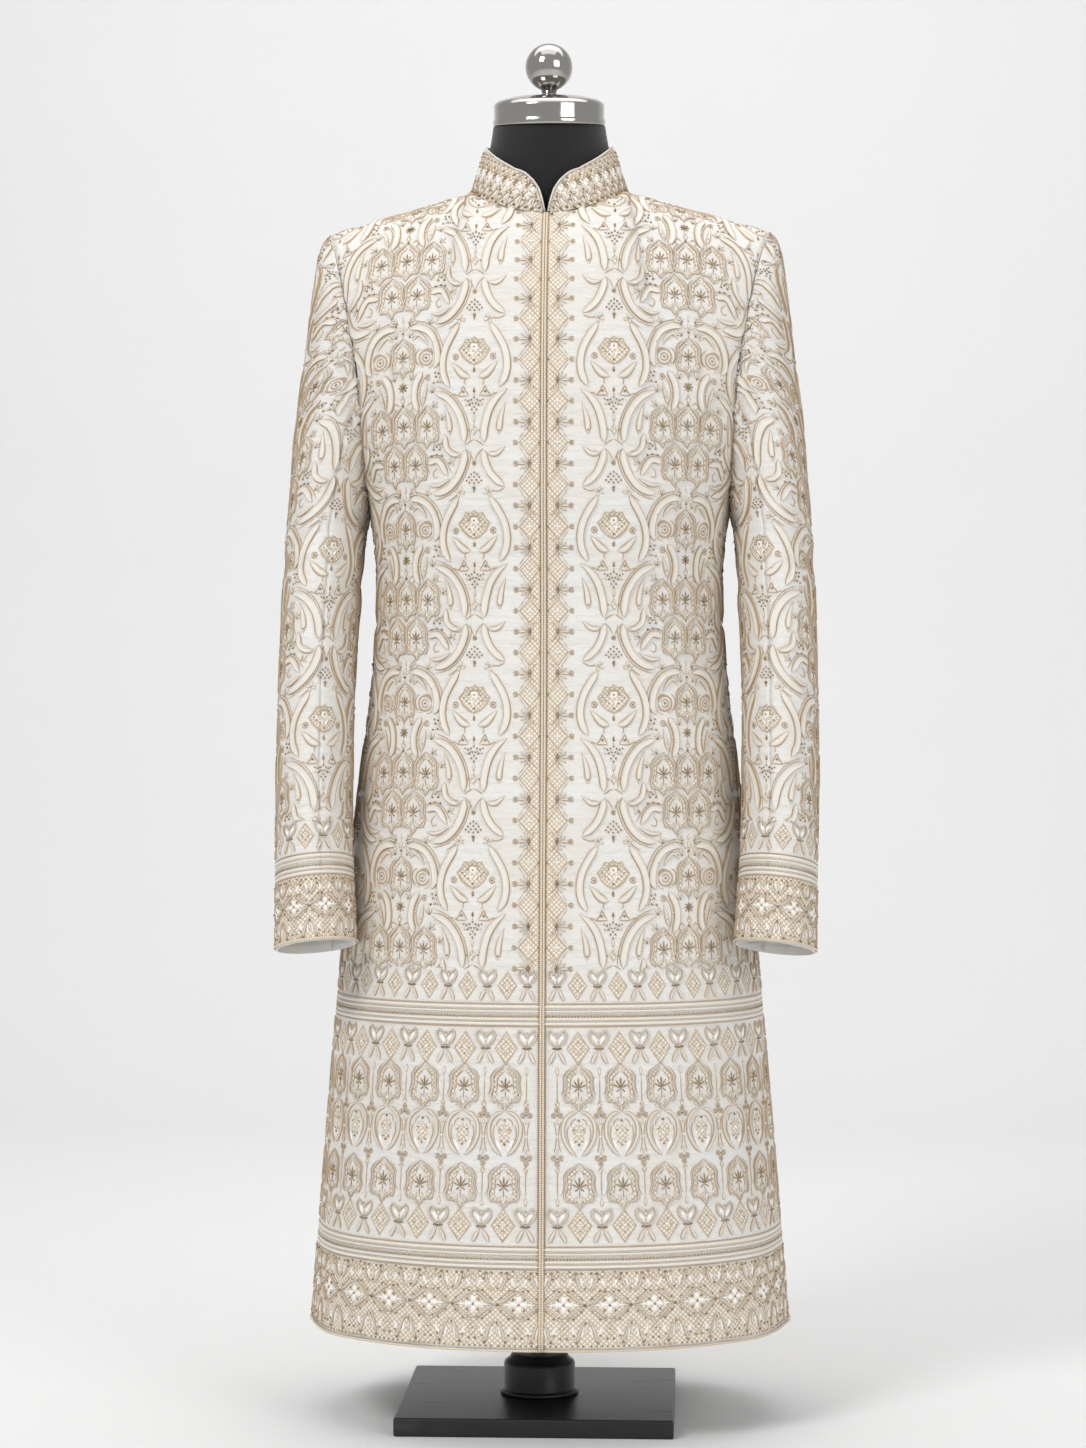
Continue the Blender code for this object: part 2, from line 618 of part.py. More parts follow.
def make_neck(collection):
    """Turn the neck, its cap and the ball, all on one axis that leans forwards."""
    axis = bpy.data.objects.new("neck_axis", None)
    collection.objects.link(axis)
    axis.location = NECK_BASE
    axis.rotation_euler = (NECK_TILT, 0, 0)
    neck = make_turned("form_neck", NECK_PROFILE, BLACK_COVER, collection)
    neck.scale = (1, NECK_DEPTH_RATIO, 1)
    cap = make_turned("neck_cap", CAP_PROFILE, BRIGHT_CHROME, collection)
    stem_angle = math.asin(BALL_STEM_RADIUS / BALL_RADIUS)
    angles = np.linspace(0, math.pi - stem_angle, 12)
    ball = [(BALL_RADIUS * math.sin(a), BALL_CENTRE_RISE + BALL_RADIUS * math.cos(a)) for a in angles]
    ball[0] = (0, BALL_CENTRE_RISE + BALL_RADIUS)
    ball += [(BALL_STEM_RADIUS, BALL_STEM_FOOT), (0, BALL_STEM_FOOT)]
    finial = make_turned("ball_finial", ball, BRIGHT_CHROME, collection)
    for item in (neck, cap, finial):
        item.parent = axis


def make_stand(collection):
    """Make the base plate, the boss on it and the rod that carries the torso."""
    bpy.ops.mesh.primitive_cube_add(size=1, location=(STAND_X, 0, PLATE_SIZE[2] / 2))
    plate = bpy.context.object
    plate.name = "base_plate"
    plate.data.transform(Matrix.Diagonal((*PLATE_SIZE, 1)))
    plate.data.materials.append(make_material("base_plate", BLACK_STEEL))
    rounding = plate.modifiers.new("rounding", "BEVEL")
    rounding.width = PLATE_ROUNDING
    rounding.segments = 2
    boss = make_turned("stand_boss", BOSS_PROFILE, BLACK_STEEL, collection, PLATE_SIZE[2])
    boss.location.x = STAND_X
    foot = PLATE_SIZE[2] + BOSS_PROFILE[0][1] + SEAM_GAP
    top = TORSO_SECTIONS[0].height - SEAM_GAP
    bpy.ops.mesh.primitive_cylinder_add(
        vertices=24, radius=ROD_RADIUS, depth=top - foot, location=(STAND_X, 0, (top + foot) / 2)
    )
    rod = bpy.context.object
    rod.name = "stand_rod"
    rod.data.materials.append(make_material("stand_rod", BRIGHT_CHROME))
    rod.data.shade_smooth()
    rod.data.set_sharp_from_angle(angle=math.radians(40))
    move_to(collection, plate)
    move_to(collection, rod)


def main():
    """Build every piece of the coat and of the form that it hangs on."""
    collection = start_empty()
    make_body(collection)
    make_sleeves(collection)
    make_collar(collection)
    make_piping(collection)
    make_torso(collection)
    make_neck(collection)
    make_stand(collection)


main()
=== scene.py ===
"""The embroidered sherwani coat on its dress form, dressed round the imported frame."""

import logging
import math
from collections.abc import Callable, Sequence
from dataclasses import dataclass, field, replace
from enum import IntEnum

import bpy
import numpy as np
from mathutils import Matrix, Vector


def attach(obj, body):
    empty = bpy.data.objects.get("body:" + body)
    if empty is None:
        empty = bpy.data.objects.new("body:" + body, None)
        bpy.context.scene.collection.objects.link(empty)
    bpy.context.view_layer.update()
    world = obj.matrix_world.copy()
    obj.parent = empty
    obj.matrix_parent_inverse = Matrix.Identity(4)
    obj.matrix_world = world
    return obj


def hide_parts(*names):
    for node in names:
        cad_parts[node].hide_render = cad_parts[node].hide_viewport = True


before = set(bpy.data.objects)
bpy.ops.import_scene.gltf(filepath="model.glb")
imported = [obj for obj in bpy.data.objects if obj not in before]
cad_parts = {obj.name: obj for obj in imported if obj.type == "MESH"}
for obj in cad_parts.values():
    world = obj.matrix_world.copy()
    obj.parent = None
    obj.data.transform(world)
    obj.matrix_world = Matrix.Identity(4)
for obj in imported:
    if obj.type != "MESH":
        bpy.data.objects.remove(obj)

Array = np.ndarray
Point = tuple[float, float]
Colour = tuple[float, float, float]
LOG = logging.getLogger("sherwani")
MM = 0.001
SHARED: dict[str, "bpy.types.Material"] = {}


class Face(IntEnum):
    """The two faces of the coat's body, and the sign of y that each lies on."""

    FRONT = -1
    BACK = 1


class Finish(IntEnum):
    """What a stitch is made of; the number is its material slot in the needlework."""

    THREAD = 0
    BEAD = 1
    PEARL = 2


THREAD, BEAD, PEARL = Finish


@dataclass(frozen=True)
class Table:
    """Rows of numbers under named columns; the first column is the key.

    Attributes:
        columns: The names of the columns.
        rows: One row of numbers for each section.
    """

    columns: tuple[str, ...]
    rows: tuple[tuple[float, ...], ...]

    def read(self, column: str, at: Array) -> Array:
        """Reads a column between its rows on a cubic Hermite curve with central slopes.

        Args:
            column: The name of the column.
            at: The keys to read it at.

        Returns:
            The values at those keys.
        """
        numbers = np.array(self.rows, dtype=float)
        keys, values = numbers[:, 0], numbers[:, self.columns.index(column)]
        slopes = np.gradient(values, keys)
        at = np.clip(np.asarray(at, dtype=float), keys[0], keys[-1])
        left = np.clip(np.searchsorted(keys, at, side="right") - 1, 0, len(keys) - 2)
        span = keys[left + 1] - keys[left]
        share = (at - keys[left]) / span
        return (
            (2 * share**3 - 3 * share**2 + 1) * values[left]
            + (share**3 - 2 * share**2 + share) * span * slopes[left]
            + (3 * share**2 - 2 * share**3) * values[left + 1]
            + (share**3 - share**2) * span * slopes[left + 1]
        )


BODY_SECTIONS = Table(
    ("height", "half_width", "front_depth", "back_depth"),
    (
        (0.093, 0.2345, 0.180, 0.180),
        (0.230, 0.2250, 0.168, 0.170),
        (0.388, 0.2130, 0.157, 0.160),
        (0.510, 0.2025, 0.146, 0.151),
        (0.630, 0.1890, 0.133, 0.138),
        (0.720, 0.1780, 0.124, 0.127),
        (0.815, 0.1720, 0.121, 0.118),
        (0.865, 0.1745, 0.125, 0.119),
        (0.9025, 0.1795, 0.129, 0.122),
    ),
)
SLEEVE_SECTIONS = Table(
    ("station", "outer_x", "outer_z", "inner_x", "inner_z", "half_depth", "centre_y", "front_lift"),
    (
        (0.00, 0.2188, 1.1755, 0.1798, 0.9030, 0.0640, 0.000, 0.000),
        (0.05, 0.2265, 1.1665, 0.1806, 0.8985, 0.0660, 0.000, 0.000),
        (0.12, 0.2325, 1.1400, 0.1816, 0.8920, 0.0690, -0.001, 0.000),
        (0.25, 0.2410, 1.0700, 0.1836, 0.8790, 0.0715, -0.003, 0.000),
        (0.40, 0.2535, 0.9650, 0.1868, 0.8550, 0.0710, -0.010, 0.001),
        (0.55, 0.2610, 0.8500, 0.1900, 0.7950, 0.0680, -0.022, 0.003),
        (0.70, 0.2648, 0.7300, 0.1925, 0.7100, 0.0635, -0.043, 0.005),
        (0.85, 0.2645, 0.5950, 0.1915, 0.5960, 0.0565, -0.070, 0.007),
        (1.00, 0.2615, 0.4650, 0.1840, 0.4740, 0.0495, -0.100, 0.009),
    ),
)
COLLAR_EDGE = Table(
    ("angle", "height"),
    (
        (0, 0.0440), (90, 0.0465), (125, 0.0410), (150, 0.0375),
        (163, 0.0345), (169.5, 0.0280), (174.5, 0.0170), (177.6, 0.0010),
    ),
)
FLUTES = Table(
    ("angle", "half_spread", "rise", "top"),
    (
        (58, 17, 0.0030, 0.46),
        (92, 13, 0.0040, 0.52),
        (128, 16, 0.0045, 0.60),
        (164, 12, 0.0030, 0.48),
    ),
)


@dataclass(frozen=True)
class CoatForm:
    """The outer form of the coat, from the same named sizes as its solids."""

    hem_height: float = 0.093
    underarm_height: float = 0.9025
    squareness: float = 2.2
    fullness: float = 0.78
    tip_x: float = 0.2185
    tip_height: float = 1.1755
    armhole_half_depth: float = 0.064
    armhole_bend: float = 2.2
    chest_pull: float = 2.0
    neck_front_turn: float = 55.0
    neck_half_width: float = 0.0785
    neck_half_depth: float = 0.071
    neck_side_height: float = 1.214
    neck_back_rise: float = 0.014
    neck_front_drop: float = 0.028
    neck_share: float = 0.5
    neck_step: float = 15.0
    collar_half_width: float = 0.0645
    collar_half_depth: float = 0.0635
    collar_height: float = 0.047
    sleeve_head_end: float = 0.30

    def flute_rise(self, angle: Array, height: Array) -> Array:
        """Outward swing of the skirt's flutes: a squared cosine across, fading upwards."""
        rise = np.zeros(np.broadcast(angle, height).shape)
        for centre, spread, most, top in FLUTES.rows:
            beside = np.clip((angle - centre) / spread, -1, 1)
            above = np.clip((top - height) / (top - self.hem_height), 0, 1)
            rise = rise + most * above**1.5 * np.cos(beside * math.pi / 2) ** 2
        return rise

    def lower(self, face: Face, across: Array, height: Array) -> Array:
        """Point below the underarm, on a superellipse whose half axes come from the sections.

        Args:
            face: The front or the back.
            across: From 0 at the centre to 1 at the side seam.
            height: The height over the floor.

        Returns:
            The points, in the half towards +X.
        """
        turn = across * math.pi / 2
        depth = "front_depth" if face == Face.FRONT else "back_depth"
        half_width = BODY_SECTIONS.read("half_width", height)
        half_depth = BODY_SECTIONS.read(depth, height)
        power = 2 / self.squareness
        angle = 90 * across if face == Face.FRONT else 180 - 90 * across
        swing = 1 + self.flute_rise(angle, height) / half_width
        x = half_width * np.sin(turn) ** power * swing
        y = int(face) * half_depth * np.abs(np.cos(turn)) ** power * swing
        return np.stack([x, y, np.broadcast_to(height, x.shape)], axis=-1)

    def neckline(self, angle: Array) -> Array:
        """Point of the neckline, an ellipse that rises at the back and drops in front."""
        turn = np.radians(angle)
        rise = np.where(np.cos(turn) > 0, self.neck_back_rise, -self.neck_front_drop)
        return np.stack([
            self.neck_half_width * np.sin(turn),
            self.neck_half_depth * np.cos(turn),
            self.neck_side_height + rise * np.cos(turn) ** 2,
        ], axis=-1)

    def body_top(self, face: Face, across: Array) -> Array:
        """Upper edge of a body panel: half the neckline, then a straight shoulder seam."""
        around = np.clip(across / self.neck_share, 0, 1)
        neck = self.neckline(180 - 90 * around if face == Face.FRONT else 90 * around)
        along = np.clip((across - self.neck_share) / (1 - self.neck_share), 0, 1)[..., None]
        run = np.array([
            self.tip_x - self.neck_half_width, 0, self.tip_height - self.neck_side_height,
        ])
        return neck + along * run

    def upper(self, face: Face, across: Array, rise: Array) -> Array:
        """Point between the underarm (rise 0) and the shoulder (rise 1).

        Height follows a sine that flattens towards the neck, mixed near the side with a
        cosine that gives the armhole's curve; depth follows the matching cosine.

        Args:
            face: The front or the back.
            across: From 0 at the centre to 1 at the armhole.
            rise: From 0 at the underarm to 1 at the neck and shoulder.

        Returns:
            The points, in the half towards +X.
        """
        foot = self.lower(face, across, np.full(np.shape(across), self.underarm_height))
        top = self.body_top(face, across)
        near_neck = np.clip(across / self.neck_share, 0, 1)
        last = self.neck_front_turn + (90 - self.neck_front_turn) * np.sin(near_neck * math.pi / 2)
        last = np.radians(last)
        angle = rise * last
        chest = (np.sin(angle) / np.sin(last)) ** self.fullness
        armhole = (1 - np.cos(rise * math.pi)) / 2
        pull = across**self.chest_pull
        share = chest * (1 - pull) + armhole * pull
        inward = (np.cos(angle) - np.cos(last)) / (1 - np.cos(last))
        inward = np.clip(inward, 0, 1) ** self.fullness
        swing = self.armhole_half_depth * np.sin(rise * math.pi) * across**2
        bow = (top[..., 0] - foot[..., 0]) * (share**self.armhole_bend - share) * pull
        x = foot[..., 0] + (top[..., 0] - foot[..., 0]) * share + bow
        y = top[..., 1] + (foot[..., 1] - top[..., 1]) * inward + int(face) * swing
        z = foot[..., 2] + (top[..., 2] - foot[..., 2]) * share
        return np.stack([x, y, z], axis=-1)

    def sleeve(self, around: Array, station: Array) -> Array:
        """Point of the sleeve: a ring between its outer and inner edges at each station.

        Args:
            around: The angle in radians from the outer edge towards the front.
            station: From 0 at the armhole to 1 at the cuff.

        Returns:
            The points of the sleeve towards +X.
        """
        value = {name: SLEEVE_SECTIONS.read(name, station) for name in SLEEVE_SECTIONS.columns[1:]}
        share = (1 + np.cos(around)) / 2
        head = np.clip(1 - station / self.sleeve_head_end, 0, 1) ** 2
        bow = (self.tip_x - BODY_SECTIONS.rows[-1][1]) * (share**self.armhole_bend - share) * head
        x = value["inner_x"] + (value["outer_x"] - value["inner_x"]) * share + bow
        y = value["centre_y"] - value["half_depth"] * np.sin(around)
        z = value["inner_z"] + (value["outer_z"] - value["inner_z"]) * share
        z = z + value["front_lift"] * np.sin(around)
        return np.stack([x, y, z], axis=-1)

    def collar(self, angle: Array, share: Array) -> Array:
        """Point of the collar between the neckline's straight runs and its upper ellipse."""
        turn = np.radians(angle)
        column = np.floor(angle / self.neck_step)
        beyond = (angle / self.neck_step - column)[..., None]
        foot = self.neckline(column * self.neck_step) * (1 - beyond)
        foot = foot + self.neckline((column + 1) * self.neck_step) * beyond
        top = np.stack([
            self.collar_half_width * np.sin(turn),
            self.collar_half_depth * np.cos(turn),
            foot[..., 2] + self.collar_height,
        ], axis=-1)
        return foot + (top - foot) * share[..., None]


def unit(vectors: Array) -> Array:
    """Vectors made one long."""
    return vectors / np.maximum(np.linalg.norm(vectors, axis=-1, keepdims=True), 1e-12)


def grid_normals(grid: Array) -> Array:
    """Outward normals of a grid: the cross product of its slopes round and up."""
    up = np.gradient(grid, axis=0, edge_order=2)
    round_about = np.gradient(grid, axis=1, edge_order=2)
    return unit(np.cross(round_about, up))


def mirrored(grid: Array) -> Array:
    """Points or directions of the piece on the other side of the coat."""
    return grid * np.array([-1, 1, 1])


def make_piece(
    name: str,
    points: Array,
    faces: Array,
    slot: str,
    materials: Sequence[bpy.types.Material],
    uv: Array | None = None,
    finishes: Array | None = None,
    values: dict[str, Array] | None = None,
) -> bpy.types.Object:
    """Makes a smooth-shaded object with foreach_set, and lets it ride on the part.

    Args:
        name: The object's name.
        points: Its vertices.
        faces: Its faces, all with the same number of corners.
        slot: The record's material slot; not used.
        materials: The materials of its mesh.
        uv: Cloth coordinates of each vertex, if it has them.
        finishes: The material number of each face.
        values: Named numbers on the vertices.

    Returns:
        The new object.
    """
    mesh = bpy.data.meshes.new(name)
    mesh.vertices.add(len(points))
    mesh.vertices.foreach_set("co", points.astype(np.float32).ravel())
    mesh.loops.add(faces.size)
    mesh.loops.foreach_set("vertex_index", faces.astype(np.int32).ravel())
    mesh.polygons.add(len(faces))
    mesh.polygons.foreach_set("loop_start", np.arange(len(faces), dtype=np.int32) * faces.shape[1])
    mesh.update(calc_edges=True)
    mesh.polygons.foreach_set("use_smooth", np.full(len(faces), True))
    for material in materials:
        mesh.materials.append(material)
    if finishes is not None:
        mesh.polygons.foreach_set("material_index", finishes.astype(np.int32))
    if uv is not None:
        layer = mesh.uv_layers.new(name="cloth")
        layer.data.foreach_set("uv", uv[faces.ravel()].astype(np.float32).ravel())
    for title, numbers in (values or {}).items():
        layer = mesh.attributes.new(title, "FLOAT", "POINT")
        layer.data.foreach_set("value", numbers.astype(np.float32))
    mesh.update()
    item = linked(bpy.data.objects.new(name, mesh))
    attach(item, "root")
    return item


def linked(item: bpy.types.Object) -> bpy.types.Object:
    """An object, put into the scene."""
    bpy.context.scene.collection.objects.link(item)
    return item


def grid_faces(rows: int, columns: int, closed: bool = False, looped: bool = False) -> Array:
    """Quads of a grid whose columns run round and rows run up.

    Args:
        rows: How many rows of points it has.
        columns: How many points are in a row.
        closed: Whether the last column joins the first.
        looped: Whether the last row joins the first.

    Returns:
        Four corners for each face.
    """
    number = np.arange(rows * columns).reshape(rows, columns)
    if closed:
        number = np.concatenate([number, number[:, :1]], axis=1)
    if looped:
        number = np.concatenate([number, number[:1]])
    corners = [number[:-1, :-1], number[:-1, 1:], number[1:, 1:], number[1:, :-1]]
    return np.stack(corners, -1).reshape(-1, 4)


def triangles(quads: Array) -> Array:
    """Two triangles for each quad."""
    return np.concatenate([quads[:, [0, 1, 2]], quads[:, [0, 2, 3]]])


def tube(rings: Array, ends: Sequence[Array]) -> tuple[Array, Array]:
    """A closed tube: rings of points, and a fan of triangles to the middle of each end.

    Args:
        rings: One row of points for each ring, anticlockwise seen from the last one.
        ends: The middles of the first ring and the last.

    Returns:
        The points and the triangles.
    """
    rows, sides = rings.shape[:2]
    here = np.arange(sides)
    there, last = (here + 1) % sides, (rows - 1) * sides
    faces = np.concatenate([
        triangles(grid_faces(rows, sides, closed=True)),
        np.stack([there, here, np.full(sides, rows * sides)], 1),
        np.stack([last + here, last + there, np.full(sides, rows * sides + 1)], 1),
    ])
    return np.concatenate([rings.reshape(-1, 3), np.array(ends)]), faces


def wall(grid: Array, normals: Array, thickness: float) -> tuple[Array, Array]:
    """Closed shell between a grid and the same grid moved in by the thickness.

    Args:
        grid: The outer points.
        normals: The wall's direction at each of them.
        thickness: The wall's thickness.

    Returns:
        The points and the faces.
    """
    rows, columns = grid.shape[:2]
    points = np.concatenate([grid.reshape(-1, 3), (grid - normals * thickness).reshape(-1, 3)])
    outer, far = grid_faces(rows, columns), rows * columns
    number = np.arange(far).reshape(rows, columns)
    rim = np.concatenate([number[0, :], number[1:, -1], number[-1, -2::-1], number[-2:0:-1, 0]])
    after = np.roll(rim, -1)
    edge = np.stack([after, rim, rim + far, after + far], axis=-1)
    return points, np.concatenate([outer, outer[:, ::-1] + far, edge])


@dataclass(frozen=True)
class Creases:
    """Soft troughs and ridges listed for a panel.

    Attributes:
        rows: Along, up, half length, half width, depth and slant of each, in millimetres and
            degrees; a negative depth is a ridge.
    """

    rows: tuple[tuple[float, float, float, float, float, float], ...]

    def depth(self, along: Array, up: Array) -> Array:
        """Depth at cloth coordinates: a bell across each crease, fading to its ends.

        Args:
            along: Distance round the panel, in metres.
            up: Distance up it, in metres.

        Returns:
            How far the cloth sinks there, in metres.
        """
        total = np.zeros(np.broadcast(along, up).shape)
        for s, h, half_length, half_width, depth, slant in self.rows:
            turn = math.radians(slant)
            dx, dy = along - s * MM, up - h * MM
            down = dx * math.cos(turn) + dy * math.sin(turn)
            beside = dy * math.cos(turn) - dx * math.sin(turn)
            bend = beside - 0.12 * down**2 / (half_length * MM)
            fade = np.exp(-((down / (half_length * MM)) ** 4))
            bell = np.exp(-((bend / (half_width * MM)) ** 2))
            shoulder = 0.35 * np.exp(-(((np.abs(bend) - 1.9 * half_width * MM) / (half_width * MM)) ** 2))
            total = total + depth * MM * fade * (bell - shoulder)
        return total


def sampled(grid: Array, row: Array, column: Array) -> Array:
    """Reads a grid of numbers or points between its places, straight both ways."""
    if grid.ndim == 2:
        return sampled(grid[..., None], row, column)[..., 0]
    rows, columns = grid.shape[:2]
    row, column = np.clip(row, 0, rows - 1), np.clip(column, 0, columns - 1)
    r0, c0 = np.minimum(row.astype(int), rows - 2), np.minimum(column.astype(int), columns - 2)
    fr, fc = (row - r0)[..., None], (column - c0)[..., None]
    low = grid[r0, c0] * (1 - fc) + grid[r0, c0 + 1] * fc
    high = grid[r0 + 1, c0] * (1 - fc) + grid[r0 + 1, c0 + 1] * fc
    return low * (1 - fr) + high * fr


class Chart:
    """A panel's outer surface and the cloth coordinates that lie on it.

    A point of the flat cloth is (along, up) in metres: up is measured along the grid's
    columns, and along is measured round the level curves from a chosen column.
    """

    levels: int = 300
    stations: int = 128
    edge: float = 0.0002

    def __init__(
        self,
        points: Array,
        normals: Array,
        up: Array,
        start: float = 0.0,
        columns: tuple[int, int] | None = None,
    ) -> None:
        """Measures the grid.

        Args:
            points: The outer points, rows running up.
            normals: The outward normals there.
            up: The cloth's up coordinate of each point, growing along every column.
            start: The column, or place between columns, where along is 0.
            columns: The first and last column of the panel, where the grid has more.
        """
        rows, count = points.shape[:2]
        first, last = columns or (0, count - 1)
        own = np.s_[:, first:last + 1]
        self.low, self.high = up.min(), up.max()
        heights = np.linspace(self.low, self.high, self.levels)
        row_at = np.stack([np.interp(heights, column, np.arange(rows)) for column in up.T], axis=1)
        place = sampled(points, row_at, np.broadcast_to(np.arange(count), row_at.shape))
        step = np.linalg.norm(np.diff(place, axis=1), axis=-1)
        along = np.concatenate([np.zeros((self.levels, 1)), np.cumsum(step, axis=1)], axis=1)
        along = along - sampled(along, np.arange(self.levels), np.full(self.levels, start))[:, None]
        self.points, self.normals, self.row_at = points[own], normals[own], row_at[own]
        inside, up, places = along[own], up[own], np.arange(last - first + 1)
        self.ends = inside[:, [0, -1]]
        self.tops, self.bottoms = up[-1], up[0]
        self.spread = (inside.min(), inside.max())
        steps = np.linspace(*self.spread, self.stations)
        self.column_at = np.stack([np.interp(steps, level, places) for level in inside])
        level_of = self.level(up)
        self.cloth = np.stack([sampled(inside, level_of, np.broadcast_to(places, up.shape)), up], axis=-1)

    def level(self, up: Array) -> Array:
        """The number of the level curve at some distance up, with its share of the next."""
        return (up - self.low) / (self.high - self.low) * (self.levels - 1)

    def lay(self, flat: Array, fan_width: float | None = None) -> tuple[Array, Array]:
        """Lays flat points on the surface.

        Args:
            flat: Points (along, up, lift) in metres.
            fan_width: Where given, along is a share of this width, and fans out with the panel.

        Returns:
            The points on the surface, and whether each lies within the panel.
        """
        along, up, lift = flat.T
        level = np.clip(self.level(up), 0, self.levels - 1)
        first, last = (sampled(self.ends, level, np.full(len(flat), end)) for end in (0, 1))
        if fan_width is not None:
            along = along / fan_width * last
        station = (along - self.spread[0]) / (self.spread[1] - self.spread[0]) * (self.stations - 1)
        column = sampled(self.column_at, level, station)
        row = sampled(self.row_at, level, column)
        places = np.arange(len(self.tops))
        top, bottom = np.interp(column, places, self.tops), np.interp(column, places, self.bottoms)
        inside = (along > first - self.edge) & (along < last + self.edge)
        inside &= (up > bottom - self.edge) & (up < top + self.edge)
        normal = unit(sampled(self.normals, row, column))
        return sampled(self.points, row, column) + normal * lift[:, None], inside


@dataclass(frozen=True)
class Section:
    """Cross-section of a stitched ribbon: share of the half width, lift in mm and tone."""

    offsets: tuple[float, ...]
    lifts: tuple[float, ...]
    tones: tuple[float, ...]


# In RIBBON, LEAF, CORD and BAND the darkest tone sits on the edges sunk to -0.2 mm: it is the outline cord and also
# painted shade where the stitching meets the cloth.
RIBBON = Section(
    (-1.0, -0.84, -0.62, 0.0, 0.62, 0.84, 1.0),
    (-0.2, 2.1, 1.0, 1.7, 1.0, 2.1, -0.2),
    (1.0, 0.85, 0.1, 0.0, 0.1, 0.85, 1.0),
)
LEAF = Section((-1.0, -0.66, 0.0, 0.66, 1.0), (-0.2, 1.7, 0.7, 1.7, -0.2), (1.0, 0.68, 0.0, 0.68, 1.0))
CORD = Section((-1.0, 0.0, 1.0), (-0.2, 1.0, -0.2), (0.95, 0.7, 0.95))
LACE = Section((-1.0, -0.8, 0.8, 1.0), (-0.2, 0.5, 0.5, -0.2), (2.0, 2.0, 2.0, 2.0))
BAND = Section((-1.0, -0.7, 0.7, 1.0), (-0.2, 1.1, 1.1, -0.2), (0.35, 0.2, 0.2, 0.35))
END_SHARE, ECHO_COUNT, ECHO_WIDTH = 0.15, 9, 1.2


@dataclass
class Patch:
    """A flat piece of needlework.

    Attributes:
        points: (along, up, lift) in metres.
        tones: 0 for the pale filling to 1 for the outline cord and painted edge shade, 2 for open lattice filling.
        faces: Triangles.
        finishes: The finish of each triangle.
    """

    points: Array
    tones: Array
    faces: Array
    finishes: Array

    def moved(self, along: float, up: float) -> "Patch":
        """The patch moved by millimetres."""
        return replace(self, points=self.points + np.array([along * MM, up * MM, 0]))

    def turned(self, degrees: float) -> "Patch":
        """The patch turned anticlockwise about its origin."""
        a = math.radians(degrees)
        turn = np.array([[math.cos(a), math.sin(a), 0], [-math.sin(a), math.cos(a), 0], [0, 0, 1]])
        return replace(self, points=self.points @ turn)

    def at(self, along: float, up: float, degrees: float) -> "Patch":
        """The patch turned and then moved."""
        return self.turned(degrees).moved(along, up)

    def scaled(self, along: float, up: float | None = None) -> "Patch":
        """The patch larger or smaller at the same lift; a negative factor turns it over."""
        up = along if up is None else up
        faces = self.faces[:, ::-1] if along * up < 0 else self.faces
        return replace(self, points=self.points * np.array([along, up, 1]), faces=faces)

    def both_sides(self) -> "Patch":
        """The patch with its mirror image."""
        return joined(self, self.scaled(-1, 1))

    def copies(self, places: Array) -> "Patch":
        """The patch at each of several places (along, up), in metres."""
        count, size = len(places), len(self.points)
        steps = np.concatenate([places, np.zeros((count, 1))], axis=1)
        points = (self.points[None] + steps[:, None]).reshape(-1, 3)
        faces = (self.faces[None] + (np.arange(count) * size)[:, None, None]).reshape(-1, 3)
        return Patch(points, np.tile(self.tones, count), faces, np.tile(self.finishes, count))


def joined(*patches: Patch) -> Patch:
    """Several patches as one."""
    starts = np.cumsum([0] + [len(patch.points) for patch in patches[:-1]])
    return Patch(
        np.concatenate([patch.points for patch in patches]),
        np.concatenate([patch.tones for patch in patches]),
        np.concatenate([patch.faces + start for patch, start in zip(patches, starts)]),
        np.concatenate([patch.finishes for patch in patches]),
    )


def curve_through(controls: Sequence[Point], count: int) -> Array:
    """Even points on a smooth curve through controls, each stretch a Catmull-Rom cubic.

    Args:
        controls: The points that it passes, in millimetres.
        count: How many points to give.

    Returns:
        The points, spaced evenly.
    """
    given = np.array(controls, dtype=float)
    padded = np.concatenate([[2 * given[0] - given[1]], given, [2 * given[-1] - given[-2]]])
    t = np.linspace(0, 1, 12, endpoint=False)[None, :, None]
    a, b, c, d = (padded[i:len(padded) - 3 + i][:, None] for i in range(4))
    fine = 0.5 * (
        2 * b + (c - a) * t + (2 * a - 5 * b + 4 * c - d) * t**2 + (3 * b - a - 3 * c + d) * t**3
    )
    fine = np.concatenate([fine.reshape(-1, 2), given[-1:]])
    run = np.concatenate([[0], np.cumsum(np.linalg.norm(np.diff(fine, axis=0), axis=1))])
    even = np.linspace(0, run[-1], count)
    return np.stack([np.interp(even, run, fine[:, 0]), np.interp(even, run, fine[:, 1])], axis=1)


